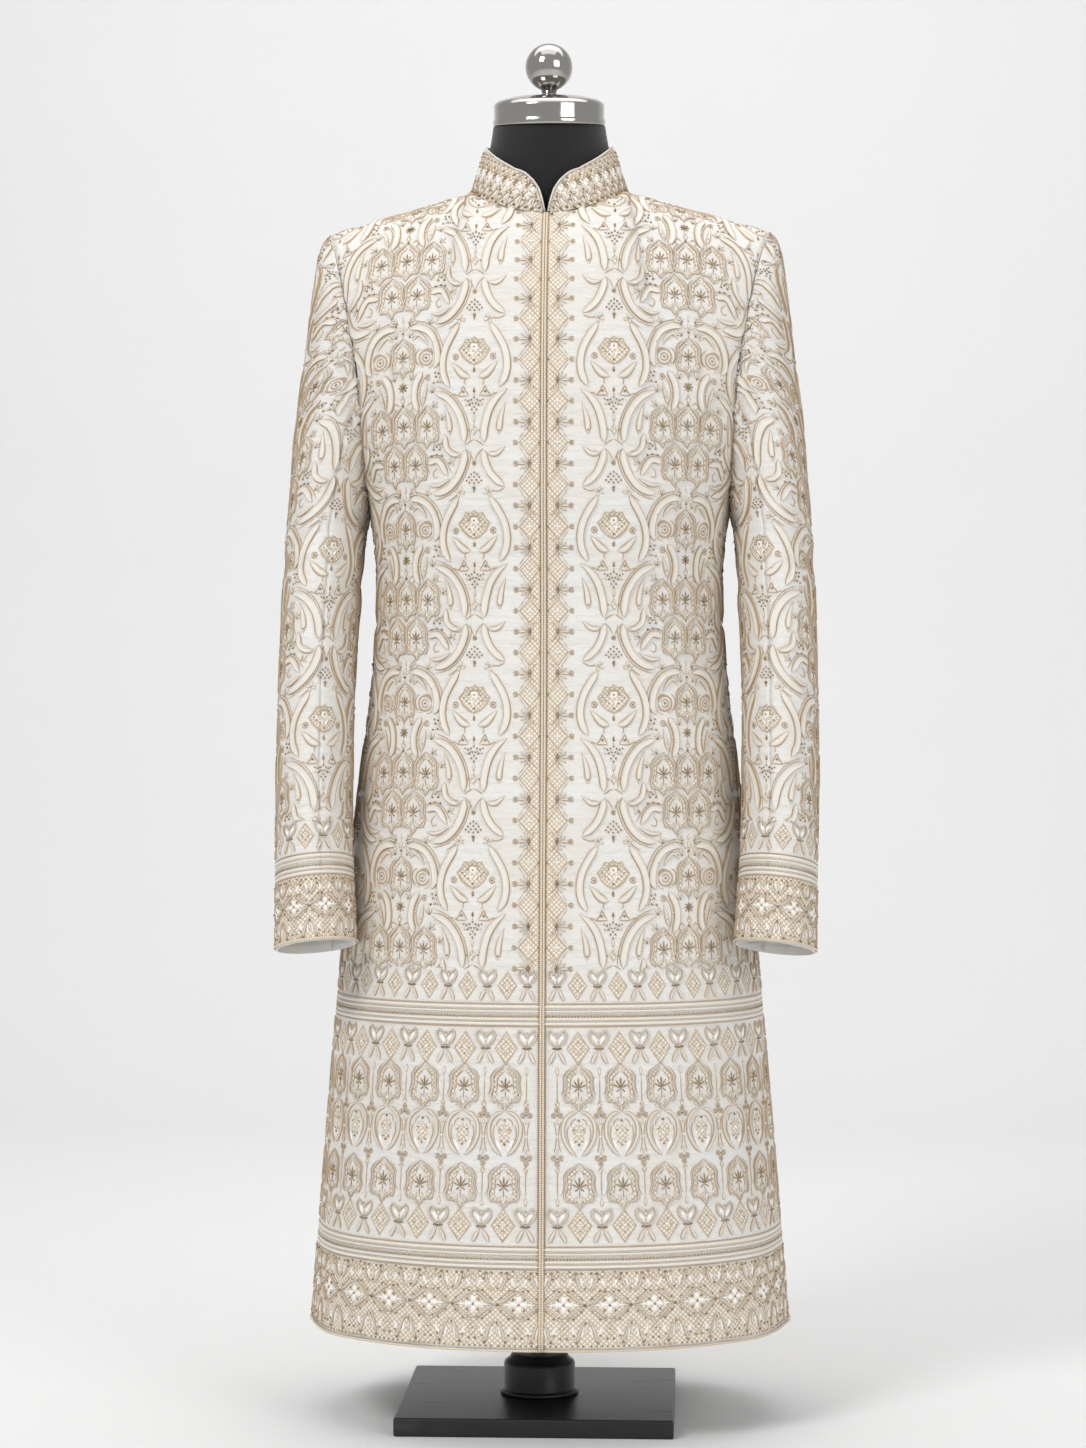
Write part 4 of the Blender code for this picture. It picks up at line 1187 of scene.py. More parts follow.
class Graph:
    """The node graph of one material, on a Principled shader."""

    def __init__(self, name: str) -> None:
        """Makes the material and finds its shader."""
        self.material = bpy.data.materials.new(name)
        self.material.use_nodes = True
        self.tree = self.material.node_tree
        self.shader = self.tree.nodes["Principled BSDF"]

    def node(
        self, kind: str, settings: dict[str, object] | None = None, **sockets: object
    ) -> bpy.types.Node:
        """Adds a node.

        Args:
            kind: The node's type.
            settings: Its settings, set before its sockets.
            sockets: Values or wires by socket name, spaces written as underscores.

        Returns:
            The node.
        """
        made = self.tree.nodes.new(kind)
        for name, value in (settings or {}).items():
            setattr(made, name, value)
        for name, value in sockets.items():
            self.plug(made.inputs[name.replace("_", " ")], value)
        return made

    def plug(self, socket: bpy.types.NodeSocket, value: object) -> None:
        """Links a wire to a socket, or sets the socket's own value."""
        if isinstance(value, Wire):
            self.tree.links.new(value.socket, socket)
        elif isinstance(value, tuple) and len(value) == 3 and socket.type == "RGBA":
            socket.default_value = (*value, 1.0)
        else:
            socket.default_value = value

    def maths(self, operation: str, *values: "Wire | float") -> Wire:
        """A Math node on one to three values."""
        made = self.tree.nodes.new("ShaderNodeMath")
        made.operation = operation
        for socket, value in zip(made.inputs, values):
            self.plug(socket, value)
        return Wire(self, made.outputs[0])

    def sine(self, value: Wire, period: float) -> Wire:
        """A wave from 0 to 1 with a period, in the value's own unit."""
        return self.maths("SINE", value * (2 * math.pi / period)) * 0.5 + 0.5

    def between(self, value: Wire, low: float, high: float) -> Wire:
        """A smooth step from 0 to 1 as a value grows from low to high."""
        made = self.node("ShaderNodeMapRange", {"interpolation_type": "SMOOTHSTEP"}, Value=value)
        made.inputs["From Min"].default_value = low
        made.inputs["From Max"].default_value = high
        return Wire(self, made.outputs["Result"])

    def blend(self, factor: Wire, first: object, second: object) -> Wire:
        """A colour between two colours."""
        made = self.tree.nodes.new("ShaderNodeMix")
        made.data_type = "RGBA"
        self.plug(made.inputs[0], factor)
        self.plug(made.inputs[6], first)
        self.plug(made.inputs[7], second)
        return Wire(self, made.outputs[2])

    def value(self, name: str) -> Wire:
        """A named number on the mesh."""
        made = self.node("ShaderNodeAttribute", {"attribute_name": name})
        return Wire(self, made.outputs["Fac"])

    def place(self) -> Wire:
        """Object coordinates."""
        return Wire(self, self.tree.nodes.new("ShaderNodeTexCoord").outputs["Object"])

    def cloth(self) -> Wire:
        """The mesh's cloth coordinates, in metres."""
        return Wire(self, self.node("ShaderNodeUVMap", {"uv_map": "cloth"}).outputs["UV"])

    def stretched(self, where: Wire, x: float, y: float, z: float = 1.0) -> Wire:
        """Coordinates multiplied by three numbers."""
        made = self.node("ShaderNodeVectorMath", {"operation": "MULTIPLY"})
        self.plug(made.inputs[0], where)
        self.plug(made.inputs[1], (x, y, z))
        return Wire(self, made.outputs[0])

    def parts(self, where: Wire) -> tuple[Wire, Wire, Wire]:
        """The three numbers of a vector."""
        made = self.node("ShaderNodeSeparateXYZ", Vector=where)
        return tuple(Wire(self, made.outputs[i]) for i in range(3))

    def noise(self, where: Wire, scale: float, detail: float = 3.0) -> Wire:
        """Soft noise from 0 to 1 at some number of lumps to a unit."""
        made = self.node("ShaderNodeTexNoise", Vector=where, Scale=scale, Detail=detail)
        return Wire(self, made.outputs[0])

    def bump(self, height: Wire, distance: float, strength: float = 1.0) -> None:
        """Sends a height to the shader's Normal; distance is in metres."""
        made = self.node("ShaderNodeBump", Height=height, Strength=strength, Distance=distance)
        self.tree.links.new(made.outputs[0], self.shader.inputs["Normal"])

    def set(self, **sockets: object) -> None:
        """Sets or links the shader's sockets."""
        for name, value in sockets.items():
            self.plug(self.shader.inputs[name.replace("_", " ")], value)


@dataclass(frozen=True)
class FinishBase:
    """A finish, whose material is made once and shared."""

    def make(self) -> bpy.types.Material:
        """The material; each finish has its own."""
        raise NotImplementedError

    def shared(self) -> bpy.types.Material:
        """The material, made the first time that it is asked for."""
        name = type(self).__name__
        if name not in SHARED:
            SHARED[name] = self.make()
        return SHARED[name]


@dataclass(frozen=True)
class SilkFinish(FinishBase):
    """Ivory satin: a fine thread pattern, soft crinkles across and a low sheen."""

    colour: Colour = tone(243, 242, 238)
    warm: Colour = tone(239, 235, 227)
    thread_pitch: float = 0.0006
    crinkle: float = 0.006

    def make(self) -> bpy.types.Material:
        """The material; its height is thread, crinkle and slub added together."""
        g = Graph("ivory_silk")
        cloth = g.cloth()
        u, v, _ = g.parts(cloth)
        weave = g.sine(u + v * 0.5, self.thread_pitch) * g.sine(v, self.thread_pitch)
        crinkle = g.noise(g.stretched(cloth, 22, 95), 1.0, 4)
        slub = g.noise(g.stretched(cloth, 60, 900), 1.0, 2)
        cloud = g.noise(cloth, 14, 3)
        colour = g.blend(g.between(cloud, 0.35, 0.75), self.colour, self.warm)
        colour = g.blend(slub * 0.10, colour, tone(222, 216, 204))
        g.set(
            Base_Color=colour, Roughness=0.40 + 0.16 * slub, Sheen_Weight=0.25,
            Sheen_Roughness=0.4, Specular_IOR_Level=0.45,
        )
        g.bump(crinkle + weave * 0.04 + slub * 0.10, self.crinkle, 0.8)
        return g.material


@dataclass(frozen=True)
class ThreadFinish(FinishBase):
    """Embroidery thread: pale filling, gold-brown outline cords that also stand for painted edge shade, and open
    lattice filling.
    """

    filling: Colour = tone(241, 237, 228)
    cord: Colour = tone(180, 150, 108)
    lattice: Colour = tone(205, 187, 158)
    stitch: float = 0.0009

    def make(self) -> bpy.types.Material:
        """The material; its colour follows the tone on the mesh, its height the stitches."""
        g = Graph("embroidery_thread")
        cloth = g.cloth()
        u, v, _ = g.parts(cloth)
        shade = g.value("tone")
        open_work = g.between(shade, 1.2, 1.8)
        down = g.sine(u + v, 0.0048)
        other = g.sine(u - v, 0.0048)
        net = g.maths("MAXIMUM", g.between(down, 0.7, 0.92), g.between(other, 0.7, 0.92))
        grain = g.noise(cloth, 900, 2)
        # The cord colour at tone 1 is the outline thread and also painted shade at the sunken edges of the stitching.
        solid = g.blend(g.between(shade, 0.25, 1.0), self.filling, self.cord)
        solid = g.blend(grain * 0.14, solid, tone(170, 140, 98))
        laced = g.blend(net, tone(242, 236, 225), self.lattice)
        g.set(
            Base_Color=g.blend(open_work, solid, laced), Roughness=0.38 + 0.25 * grain,
            Sheen_Weight=0.15, Specular_IOR_Level=0.5,
        )
        stitches = g.sine(u * 0.7 + v, self.stitch) * 0.35 + grain * 0.4
        g.bump(stitches + net * open_work * 0.8, 0.0004, 0.7)
        return g.material


@dataclass(frozen=True)
class BeadFinish(FinishBase):
    """Tarnished metal beads, darker in their hollows."""

    colour: Colour = tone(184, 160, 122)
    dark: Colour = tone(116, 96, 66)

    def make(self) -> bpy.types.Material:
        """The material; the colour and gloss follow a fine noise."""
        g = Graph("bead_metal")
        spots = g.noise(g.place(), 700, 2)
        g.set(
            Base_Color=g.blend(g.between(spots, 0.35, 0.7), self.colour, self.dark),
            Metallic=0.45, Roughness=0.25 + 0.2 * spots,
        )
        g.bump(spots, 0.0002, 0.4)
        return g.material


@dataclass(frozen=True)
class PearlFinish(FinishBase):
    """Small white pearls with a soft gloss."""

    colour: Colour = tone(251, 249, 245)

    def make(self) -> bpy.types.Material:
        """The material; a faint noise tints the nacre."""
        g = Graph("seed_pearl")
        cloud = g.noise(g.place(), 300, 2)
        g.set(
            Base_Color=g.blend(cloud, self.colour, tone(242, 238, 230)),
            Roughness=0.18 + 0.1 * cloud, Coat_Weight=0.4, Coat_Roughness=0.1,
        )
        return g.material


@dataclass(frozen=True)
class CordFinish:
    """Twisted cord: slanting strands along a piping, with painted shade between them.

    Attributes:
        name: The material's name.
        colour: The strands' colour.
        groove_shade: The painted shade colour in the grooves between the strands.
    """

    name: str
    colour: Colour
    groove_shade: Colour
    pitch: float = 0.0021

    def make(self) -> bpy.types.Material:
        """The material; strands are a sine of the length plus the turn round the cord."""
        g = Graph(self.name)
        u, v, _ = g.parts(g.cloth())
        strand = g.sine(v + u * self.pitch, self.pitch)
        grain = g.noise(g.place(), 1500, 2)
        # Painted shade: the colour is darkened between the strands, where the grooves are shaded.
        g.set(
            Base_Color=g.blend(g.between(strand, 0.02, 0.55), self.groove_shade, self.colour),
            Roughness=0.35 + 0.2 * grain, Sheen_Weight=0.1,
        )
        g.bump(strand + grain * 0.2, 0.0004, 0.8)
        return g.material


@dataclass(frozen=True)
class CoverFinish(FinishBase):
    """The form's matt black jersey cover."""

    colour: Colour = tone(16, 16, 19)
    lint: Colour = tone(44, 44, 48)

    def make(self) -> bpy.types.Material:
        """The material; fine ribs run up and a noise adds lint and worn patches."""
        g = Graph("black_jersey")
        place = g.place()
        x, y, z = g.parts(place)
        ribs = g.sine(x + y, 0.0011) * g.sine(z, 0.0009)
        lint = g.noise(place, 420, 4)
        patch = g.noise(place, 9, 3)
        g.set(
            Base_Color=g.blend(g.between(lint, 0.58, 0.8) * 0.6, self.colour, self.lint),
            Roughness=0.62 + 0.25 * patch, Sheen_Weight=0.3, Sheen_Roughness=0.5,
            Specular_IOR_Level=0.3,
        )
        g.bump(ribs * 0.5 + lint * 0.5, 0.0003, 0.5)
        return g.material


@dataclass(frozen=True)
class ChromeFinish(FinishBase):
    """Bright plated metal with fine turning marks and faint smears."""

    colour: Colour = tone(188, 185, 181)

    def make(self) -> bpy.types.Material:
        """The material; smears raise the roughness, turning marks give the bump."""
        g = Graph("bright_chrome")
        place = g.place()
        _, _, z = g.parts(place)
        smear = g.noise(g.stretched(place, 40, 40, 90), 1.0, 4)
        g.set(
            Base_Color=g.blend(smear * 0.3, self.colour, tone(150, 147, 143)),
            Metallic=1.0, Roughness=0.06 + 0.14 * g.between(smear, 0.45, 0.8),
        )
        g.bump(g.sine(z, 0.0004) * 0.3 + smear, 0.00005, 0.3)
        return g.material


@dataclass(frozen=True)
class SteelFinish(FinishBase):
    """Satin black paint on steel, rubbed pale where things have slid over it."""

    colour: Colour = tone(24, 24, 26)
    rubbed: Colour = tone(60, 60, 62)

    def make(self) -> bpy.types.Material:
        """The material; a fine orange-peel bump, and long scuffs in colour and gloss."""
        g = Graph("black_paint")
        place = g.place()
        scuff = g.noise(g.stretched(place, 14, 160, 60), 1.0, 5)
        peel = g.noise(place, 900, 2)
        worn = g.between(scuff, 0.62, 0.78)
        g.set(
            Base_Color=g.blend(worn * 0.5, self.colour, self.rubbed),
            Roughness=0.32 + 0.2 * worn + 0.1 * peel, Specular_IOR_Level=0.5,
        )
        g.bump(peel, 0.0002, 0.35)
        return g.material


@dataclass(frozen=True)
class StudioFinish(FinishBase):
    """The pale floor and backdrop."""

    colour: Colour = tone(238, 238, 238)

    def make(self) -> bpy.types.Material:
        """The material; the faintest mottling of seamless paper."""
        g = Graph("seamless_paper")
        cloud = g.noise(g.place(), 3, 2)
        g.set(
            Base_Color=g.blend(cloud * 0.4, self.colour, tone(233, 233, 233)), Roughness=0.85,
            Specular_IOR_Level=0.1,
        )
        return g.material


@dataclass
class Needlework:
    """The embroidery of the coat, laid out flat for each panel and then laid on it.

    Attributes:
        period: Height of one medallion, in metres.
        body_pinch: Level of the lowest pinch on the body.
        sleeve_pinch: Level of the lowest pinch on a sleeve, from the cuff.
        half_tile: From a medallion's axis to the field's.
        front_axis: From the opening to the first medallion's axis.
        column: Distance between the skirt's lotus columns.
        fan: Width of a body panel in those columns' own measure.
        bud_start: From the opening to the first bud.
        flower_start: From the opening to the starbursts.
        field_floor: Lowest level of the body's medallions.
        sleeve_floor: The same on a sleeve.
        sleeve_reach: Where a sleeve's rows start and end.
        cell: Length of one face of a band or ground.
        band_rows: Level, width and shade of each stripe of a band, in millimetres.
    """

    ornament: Ornament = field(default_factory=Ornament)
    period: float = 0.168
    body_pinch: float = 0.4515
    sleeve_pinch: float = 0.125
    half_tile: float = 0.0775
    front_axis: float = 0.0675
    column: float = 0.0403
    fan: float = 0.30225
    bud_start: float = 0.0144
    flower_start: float = 0.0134
    field_floor: float = 0.4535
    sleeve_floor: float = 0.119
    sleeve_reach: Point = (-0.16, 0.26)
    cell: float = 0.006
    band_rows: tuple[tuple[float, float, float], ...] = (
        (10.4, 1.2, 0.8), (7.8, 3.6, 0.0), (5.2, 1.1, 0.6), (3.4, 2.2, 0.0),
        (-4.2, 2.2, 0.0), (-6.0, 1.1, 0.6), (-8.4, 3.4, 0.0), (-10.8, 1.2, 0.8),
    )

    def __post_init__(self) -> None:
        """Draws each motif once."""
        drawn = self.ornament
        self.field, self.border, self.front_flower = drawn.field(), drawn.border(), drawn.front_flower()
        self.medallion, self.front_medallion = drawn.medallion(False), drawn.medallion(True)
        self.bud, self.bud_column = drawn.bud(), drawn.bud_column()
        self.lotus_column, self.diamond = drawn.lotus_column(), drawn.diamond()

    @staticmethod
    def rows(patch: Patch, alongs: Sequence[float], *ups: float) -> Patch:
        """A patch at every pairing of some distances along and up, in metres."""
        return patch.copies(np.array([(along, up) for along in alongs for up in ups], dtype=float))

    def band(self, level: float, first: float, last: float) -> Patch:
        """A stripe band: cords, pale stripes and a beaded braid, running along.

        Args:
            level: The level of its middle, in metres.
            first: Where it starts, in metres.
            last: Where it ends.

        Returns:
            The patch.
        """
        parts = []
        count = max(round((last - first) / self.cell), 2)
        base = np.array(BAND.tones) - 0.2
        for up, width, shade in self.band_rows:
            section = replace(BAND, tones=tuple(np.clip(base + shade, 0, 1)))
            parts.append(strip([(first / MM, up), (last / MM, up)], width, section, count, 0, 0))
        braid = joined(petal(4.4, 2.3, -52, -1.7, -0.9, THREAD, 1.0, 6, 0.6), bead(1.2, -1.6, 0.8))
        parts.append(self.rows(braid, np.arange(first, last, 0.0031), 0.0))
        parts += [line(first / MM, up, last / MM, up, 1.1, count) for up in (2.9, -1.7)]
        return joined(*parts).moved(0, level / MM)

    def ground(self, low: float, high: float, first: float, last: float) -> Patch:
        """A thin ground of open lattice stitching under a dense border, in metres."""
        columns = max(round((last - first) / self.cell), 2)
        rows = max(round((high - low) / 0.008), 2)
        grid = np.stack(np.meshgrid(np.linspace(first, last, columns), np.linspace(low, high, rows)), -1)
        points = np.concatenate([grid.reshape(-1, 2), np.full((rows * columns, 1), 0.00025)], 1)
        faces = triangles(grid_faces(rows, columns))
        return Patch(points, np.full(len(points), 2.0), faces, np.zeros(len(faces), int))

    def body_upper(self, front: bool) -> Patch:
        """The medallions, field and, in front, the flowers by the opening."""
        levels = self.body_pinch + self.period * np.arange(6)
        start, steps = (self.front_axis, (0, 2)) if front else (0.0, (1, 3))
        axes = [start + self.half_tile * k for k in steps]
        fields = [start + self.half_tile * k for k in ((1, 3) if front else (0, 2, 4))]
        first = self.front_medallion if front else self.medallion
        return joined(
            self.rows(first, axes[:1], *levels), self.rows(self.medallion, axes[1:], *levels),
            self.rows(self.field, fields, *levels),
        )

    def skirt(self, start: float) -> Patch:
        """The bud row, bands, lotus lattice and border, in fan measure, from the first bud."""
        buds = start + self.column * np.arange(8)
        lotuses = buds + self.column / 2
        return joined(
            self.rows(self.bud.scaled(0.92), buds, 0.4355),
            self.rows(self.diamond.scaled(0.86), lotuses, 0.4365),
            self.band(0.409, 0, self.fan), self.band(0.1805, 0, self.fan),
            self.rows(self.bud, buds, 0.3770, 0.2090), self.rows(self.diamond, lotuses, 0.3775, 0.2105),
            self.rows(self.lotus_column, lotuses, 0.2965), self.rows(self.bud_column, buds, 0.2940),
            self.rows(self.border.scaled(0.94), 0.0195 + self.column * np.arange(8), 0.1365),
            self.ground(0.0975, 0.1675, 0, self.fan),
        )

    def opening(self) -> Patch:
        """The starbursts by the opening, a cord beside it and a soft ground under them."""
        count = 130
        return joined(
            self.rows(self.front_flower, [self.flower_start], *(0.4525 + self.column * np.arange(20))),
            strip([(3.3, 96), (3.3, 1260)], 1.1, CORD, count, 0, 0),
            strip([(9.6, 452), (9.6, 1260)], 12.6, LACE, count, 0, 0, 0.5),
        )

    def sleeve_upper(self) -> Patch:
        """A sleeve's medallions and field."""
        levels = self.sleeve_pinch + self.period * np.arange(5)
        return joined(
            self.rows(self.medallion, 2 * self.half_tile * np.arange(-1, 3), *levels),
            self.rows(self.field, self.half_tile * np.array([-1, 1, 3]), *levels),
        )

    def cuff(self) -> Patch:
        """A sleeve's cuff border, band and bud row."""
        turns = np.arange(-6, 12)
        return joined(
            self.rows(self.border.scaled(0.8), self.column * 0.8 * turns, 0.0345),
            self.ground(0.003, 0.0635, *self.sleeve_reach), self.band(0.0745, *self.sleeve_reach),
            self.rows(self.bud.scaled(0.9), self.column * 0.9 * turns, 0.1010),
            self.rows(self.diamond.scaled(0.8), self.column * 0.9 * (turns + 0.5), 0.1020),
        )

    def collar(self) -> Patch:
        """The collar's dense lattice: arches with dark beads at the foot, lozenges above."""
        places = 0.0135 * np.arange(-18, 19)
        return joined(self.ground(0.001, 0.0465, -0.24, 0.24), self.rows(self.ornament.collar_arch(), places, 0.0))

    def layers(self, name: str) -> list[tuple[Patch, float, float | None]]:
        """The flat layers of a kind of panel: patch, lowest level, and fan width if it fans."""
        if name == "coat_front":
            layers = [(self.body_upper(True), self.field_floor, None), (self.opening(), 0.095, None)]
            return [*layers, (self.skirt(self.bud_start), 0.0, self.fan)]
        if name == "coat_back":
            return [(self.body_upper(False), self.field_floor, None), (self.skirt(0.0), 0.0, self.fan)]
        if name == "collar":
            return [(self.collar(), 0.0, None)]
        return [(self.sleeve_upper(), self.sleeve_floor, None), (self.cuff(), 0.0, None)]

    def sew(self, node: str, name: str, chart: Chart, flip: bool) -> bpy.types.Object:
        """Lays a panel's embroidery on it.

        Args:
            node: The CAD node that the panel stands for.
            name: The kind of panel.
            chart: The measured panel.
            flip: Whether the chart's columns run against the outside.

        Returns:
            The embroidery's object, for the side towards +X.
        """
        laid, flats, tones, faces, finishes, start = [], [], [], [], [], 0
        for patch, floor, fan in self.layers(name):
            points, inside = chart.lay(patch.points, fan)
            inside &= patch.points[:, 1] > floor
            kept = inside[patch.faces].any(axis=1)
            used = np.unique(patch.faces[kept])
            number = np.zeros(len(points), int)
            number[used] = np.arange(len(used)) + start
            laid.append(points[used])
            flats.append(patch.points[used, :2])
            tones.append(patch.tones[used])
            faces.append(number[patch.faces[kept]])
            finishes.append(patch.finishes[kept])
            start += len(used)
        points, faces = np.concatenate(laid), np.concatenate(faces)
        if flip:
            faces = faces[:, ::-1]
        if node.endswith("right"):
            points, faces = mirrored(points), faces[:, ::-1]
        materials = [ThreadFinish().shared(), BeadFinish().shared(), PearlFinish().shared()]
        LOG.info("%s: %d triangles of embroidery", node, len(faces))
        return make_piece(
            f"{node}_embroidery", points, faces, "embroidered_cloth", materials,
            np.concatenate(flats), np.concatenate(finishes), {"tone": np.concatenate(tones)},
        )


@dataclass
class Coat:
    """The coat: four body panels, two sleeves in two pieces each, collar and pipings.

    Attributes:
        form: The form that the panels follow.
        wall: The cloth's thickness.
        gap: The gap left at a seam.
        cord_radius: The radius of the pipings.
        cord_sides: How many faces go round a piping.
        steep: Mean rise above which a piping is taken as upright.
        seam_sink: How far the cloth sinks at a seam.
        seam_reach: How far from the seam it does.
    """

    form: CoatForm = field(default_factory=CoatForm)
    wall: float = 0.002
    gap: float = 0.0003
    cord_radius: float = 0.0011
    cord_sides: int = 10
    steep: float = 0.7
    body_columns: int = 41
    skirt_rows: int = 79
    chest_rows: int = 40
    sleeve_step: float = 6.0
    sleeve_rows: int = 91
    sleeve_first: float = 252.0
    sleeve_split: float = 108.0
    sleeve_axis: float = 114.0
    seam_sink: float = 0.0005
    seam_reach: float = 0.004
    front_creases: Creases = Creases((
        (150, 905, 60, 9, 1.6, -28), (175, 872, 45, 8, 1.2, -20), (120, 935, 40, 10, 0.9, -35),
        (60, 812, 70, 9, 0.9, 4), (110, 776, 55, 8, -0.8, -6), (150, 748, 48, 10, 1.1, -14),
        (40, 700, 40, 7, 0.6, 8), (185, 1010, 60, 11, 1.3, 66), (205, 960, 36, 9, -0.9, 58),
        (200, 560, 90, 16, 1.3, 82), (95, 520, 70, 15, -0.9, 86), (235, 300, 110, 18, 1.2, 87),
        (60, 250, 80, 16, 0.8, 89), (130, 1120, 42, 10, 0.8, 24),
    ))
    back_creases: Creases = Creases((
        (60, 828, 66, 11, 1.8, 6), (30, 792, 44, 9, -1.1, -4), (110, 764, 60, 12, 1.6, -12),
        (170, 905, 52, 10, 1.4, -30), (190, 1000, 62, 12, 1.5, 64), (90, 1060, 70, 14, 1.1, 30),
        (40, 1130, 46, 12, 0.9, 10), (120, 540, 110, 18, 1.4, 84), (225, 420, 95, 17, -1.2, 86),
        (60, 300, 120, 19, 1.3, 88), (180, 250, 70, 15, 1.0, 87),
    ))
    sleeve_creases: Creases = Creases((
        (20, 400, 38, 8, 1.6, -12), (46, 372, 30, 7, 1.2, 10), (8, 350, 34, 7, -1.0, -18),
        (95, 385, 40, 10, 1.2, 16), (30, 552, 46, 9, 1.3, 34), (62, 590, 40, 9, 0.9, 40),
        (110, 500, 56, 12, 1.0, 74), (24, 250, 40, 9, 0.9, -20), (70, 200, 48, 12, 0.8, 80),
        (-40, 420, 44, 9, 1.5, 8), (-70, 360, 50, 10, 1.3, -14), (-50, 520, 40, 9, 1.2, -30),
        (150, 330, 60, 14, 1.0, 84), (160, 560, 60, 14, 1.1, 78),
    ))

    def clear_seams(self, grid: Array, top: bool, share: float = 1.0) -> Array:
        """A copy of a grid drawn back by half a seam gap, or a share of it, at its sides."""
        result = grid.copy()
        edges = [(np.s_[:, 0], np.s_[:, 1]), (np.s_[:, -1], np.s_[:, -2])]
        if top:
            edges.append((np.s_[-1, :], np.s_[-2, :]))
        for edge, beside in edges:
            result[edge] = result[edge] + unit(grid[beside] - grid[edge]) * self.gap * share / 2
        return result

    def sunk(self, chart: Chart, creases: Creases, sides: bool) -> Array:
        """How far the panel sinks at its creases, and at its seams where sides is set."""
        along, up = chart.cloth[..., 0], chart.cloth[..., 1]
        first, last = along[:, :1], along[:, -1:]
        near = np.minimum(along - first, last - along)
        fade = np.clip(near / 0.02, 0, 1)
        depth = creases.depth(along, up) * fade * fade * (3 - 2 * fade)
        if sides:
            depth = depth + self.seam_sink * np.exp(-(((last - along) / self.seam_reach) ** 2))
        return depth

    def body_chart(self, face: Face) -> Chart:
        """Measures a body panel towards +X and sinks its creases into it."""
        form = self.form
        across = np.linspace(0, 1, self.body_columns)
        heights = np.linspace(form.hem_height, form.underarm_height, self.skirt_rows)
        rises = np.linspace(0, 1, self.chest_rows)[1:]
        shape = (self.skirt_rows, self.body_columns)
        skirt = form.lower(face, np.broadcast_to(across, shape), np.broadcast_to(heights[:, None], shape))
        shape = (len(rises), self.body_columns)
        chest = form.upper(face, np.broadcast_to(across, shape), np.broadcast_to(rises[:, None], shape))
        grid = np.concatenate([skirt, chest])
        normals = grid_normals(grid) * -int(face)
        half = self.body_columns // 2
        normals[:, 0, 0] = 0
        normals[: self.skirt_rows, -1, 1] = 0
        normals[-1, half:, 1] = 0
        normals = unit(normals)
        step = np.linalg.norm(np.diff(grid[..., 1:], axis=0), axis=-1)
        step[: self.skirt_rows - 1] = np.diff(grid[: self.skirt_rows, :, 2], axis=0)
        up = form.hem_height + np.concatenate([np.zeros((1, self.body_columns)), np.cumsum(step, 0)])
        chart = Chart(self.clear_seams(grid, True), normals, up)
        creases = self.front_creases if face == Face.FRONT else self.back_creases
        chart.points = chart.points - normals * self.sunk(chart, creases, True)[..., None]
        inner = grid_normals(chart.points) * -int(face)
        chart.normals[:, 1:-1] = inner[:, 1:-1]
        return chart

    def sleeve_charts(self) -> dict[str, Chart]:
        """Measures the top and under sleeve towards +X on one ring, so that stitches line up."""
        degrees = np.arange(self.sleeve_first, self.sleeve_first - 361, -self.sleeve_step)
        around = np.radians(degrees)
        stations = np.linspace(1, 0, self.sleeve_rows)
        shape = (self.sleeve_rows, len(around))
        grid = self.form.sleeve(
            np.broadcast_to(around, shape), np.broadcast_to(stations[:, None], shape)
        )
        step = np.linalg.norm(np.diff(grid, axis=0), axis=-1)
        up = np.concatenate([np.zeros((1, len(around))), np.cumsum(step, axis=0)])
        start = (self.sleeve_first - self.sleeve_axis) / self.sleeve_step
        normals = grid_normals(grid)
        whole = Chart(grid, normals, up, start)
        sunk = self.sunk(whole, self.sleeve_creases, False)
        sunk = sunk * np.clip(up / 0.05, 0, 1)
        grid = grid - normals * sunk[..., None]
        normals = grid_normals(grid)
        ends = unit(normals[:, 0] + normals[:, -1])
        normals[:, 0], normals[:, -1] = ends, ends
        split = round((self.sleeve_first - self.sleeve_split) / self.sleeve_step)
        charts = {}
        for part, columns in {"under": (0, split), "top": (split, len(around) - 1)}.items():
            chart = Chart(grid, normals, up, start, columns)
            chart.points = self.clear_seams(chart.points, False, 0.1)
            charts[part] = chart
        return charts

    def collar_chart(self) -> Chart:
        """Measures the collar from its right front corner round the back to the left one."""
        angles = np.linspace(177.6, -177.6, 145)
        heights = COLLAR_EDGE.read("height", np.abs(angles))
        foot = 2 * self.gap / self.form.collar_height
        shares = foot + np.linspace(0, 1, 13)[:, None] * (heights / self.form.collar_height)
        angle = np.broadcast_to(angles, shares.shape)
        grid = self.form.collar(angle, shares)
        up = shares * self.form.collar_height
        return Chart(grid, grid_normals(grid), up, len(angles) / 2 - 0.5)

    def shell(self, name: str, chart: Chart, material: bpy.types.Material, flip: bool) -> bpy.types.Object:
        """Makes a panel's cloth shell.

        Args:
            name: The CAD node that it stands for.
            chart: The measured panel.
            material: The cloth.
            flip: Whether the panel's columns run against the outside.

        Returns:
            The object.
        """
        points, faces = wall(chart.points, chart.normals, self.wall)
        if flip:
            faces = faces[:, ::-1]
        if name.endswith("right"):
            points, faces = mirrored(points), faces[:, ::-1]
        uv = np.concatenate([chart.cloth.reshape(-1, 2)] * 2)
        item = make_piece(f"{name}_cloth", points, faces, "embroidered_cloth", [material], uv)
        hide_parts(name)
        return item

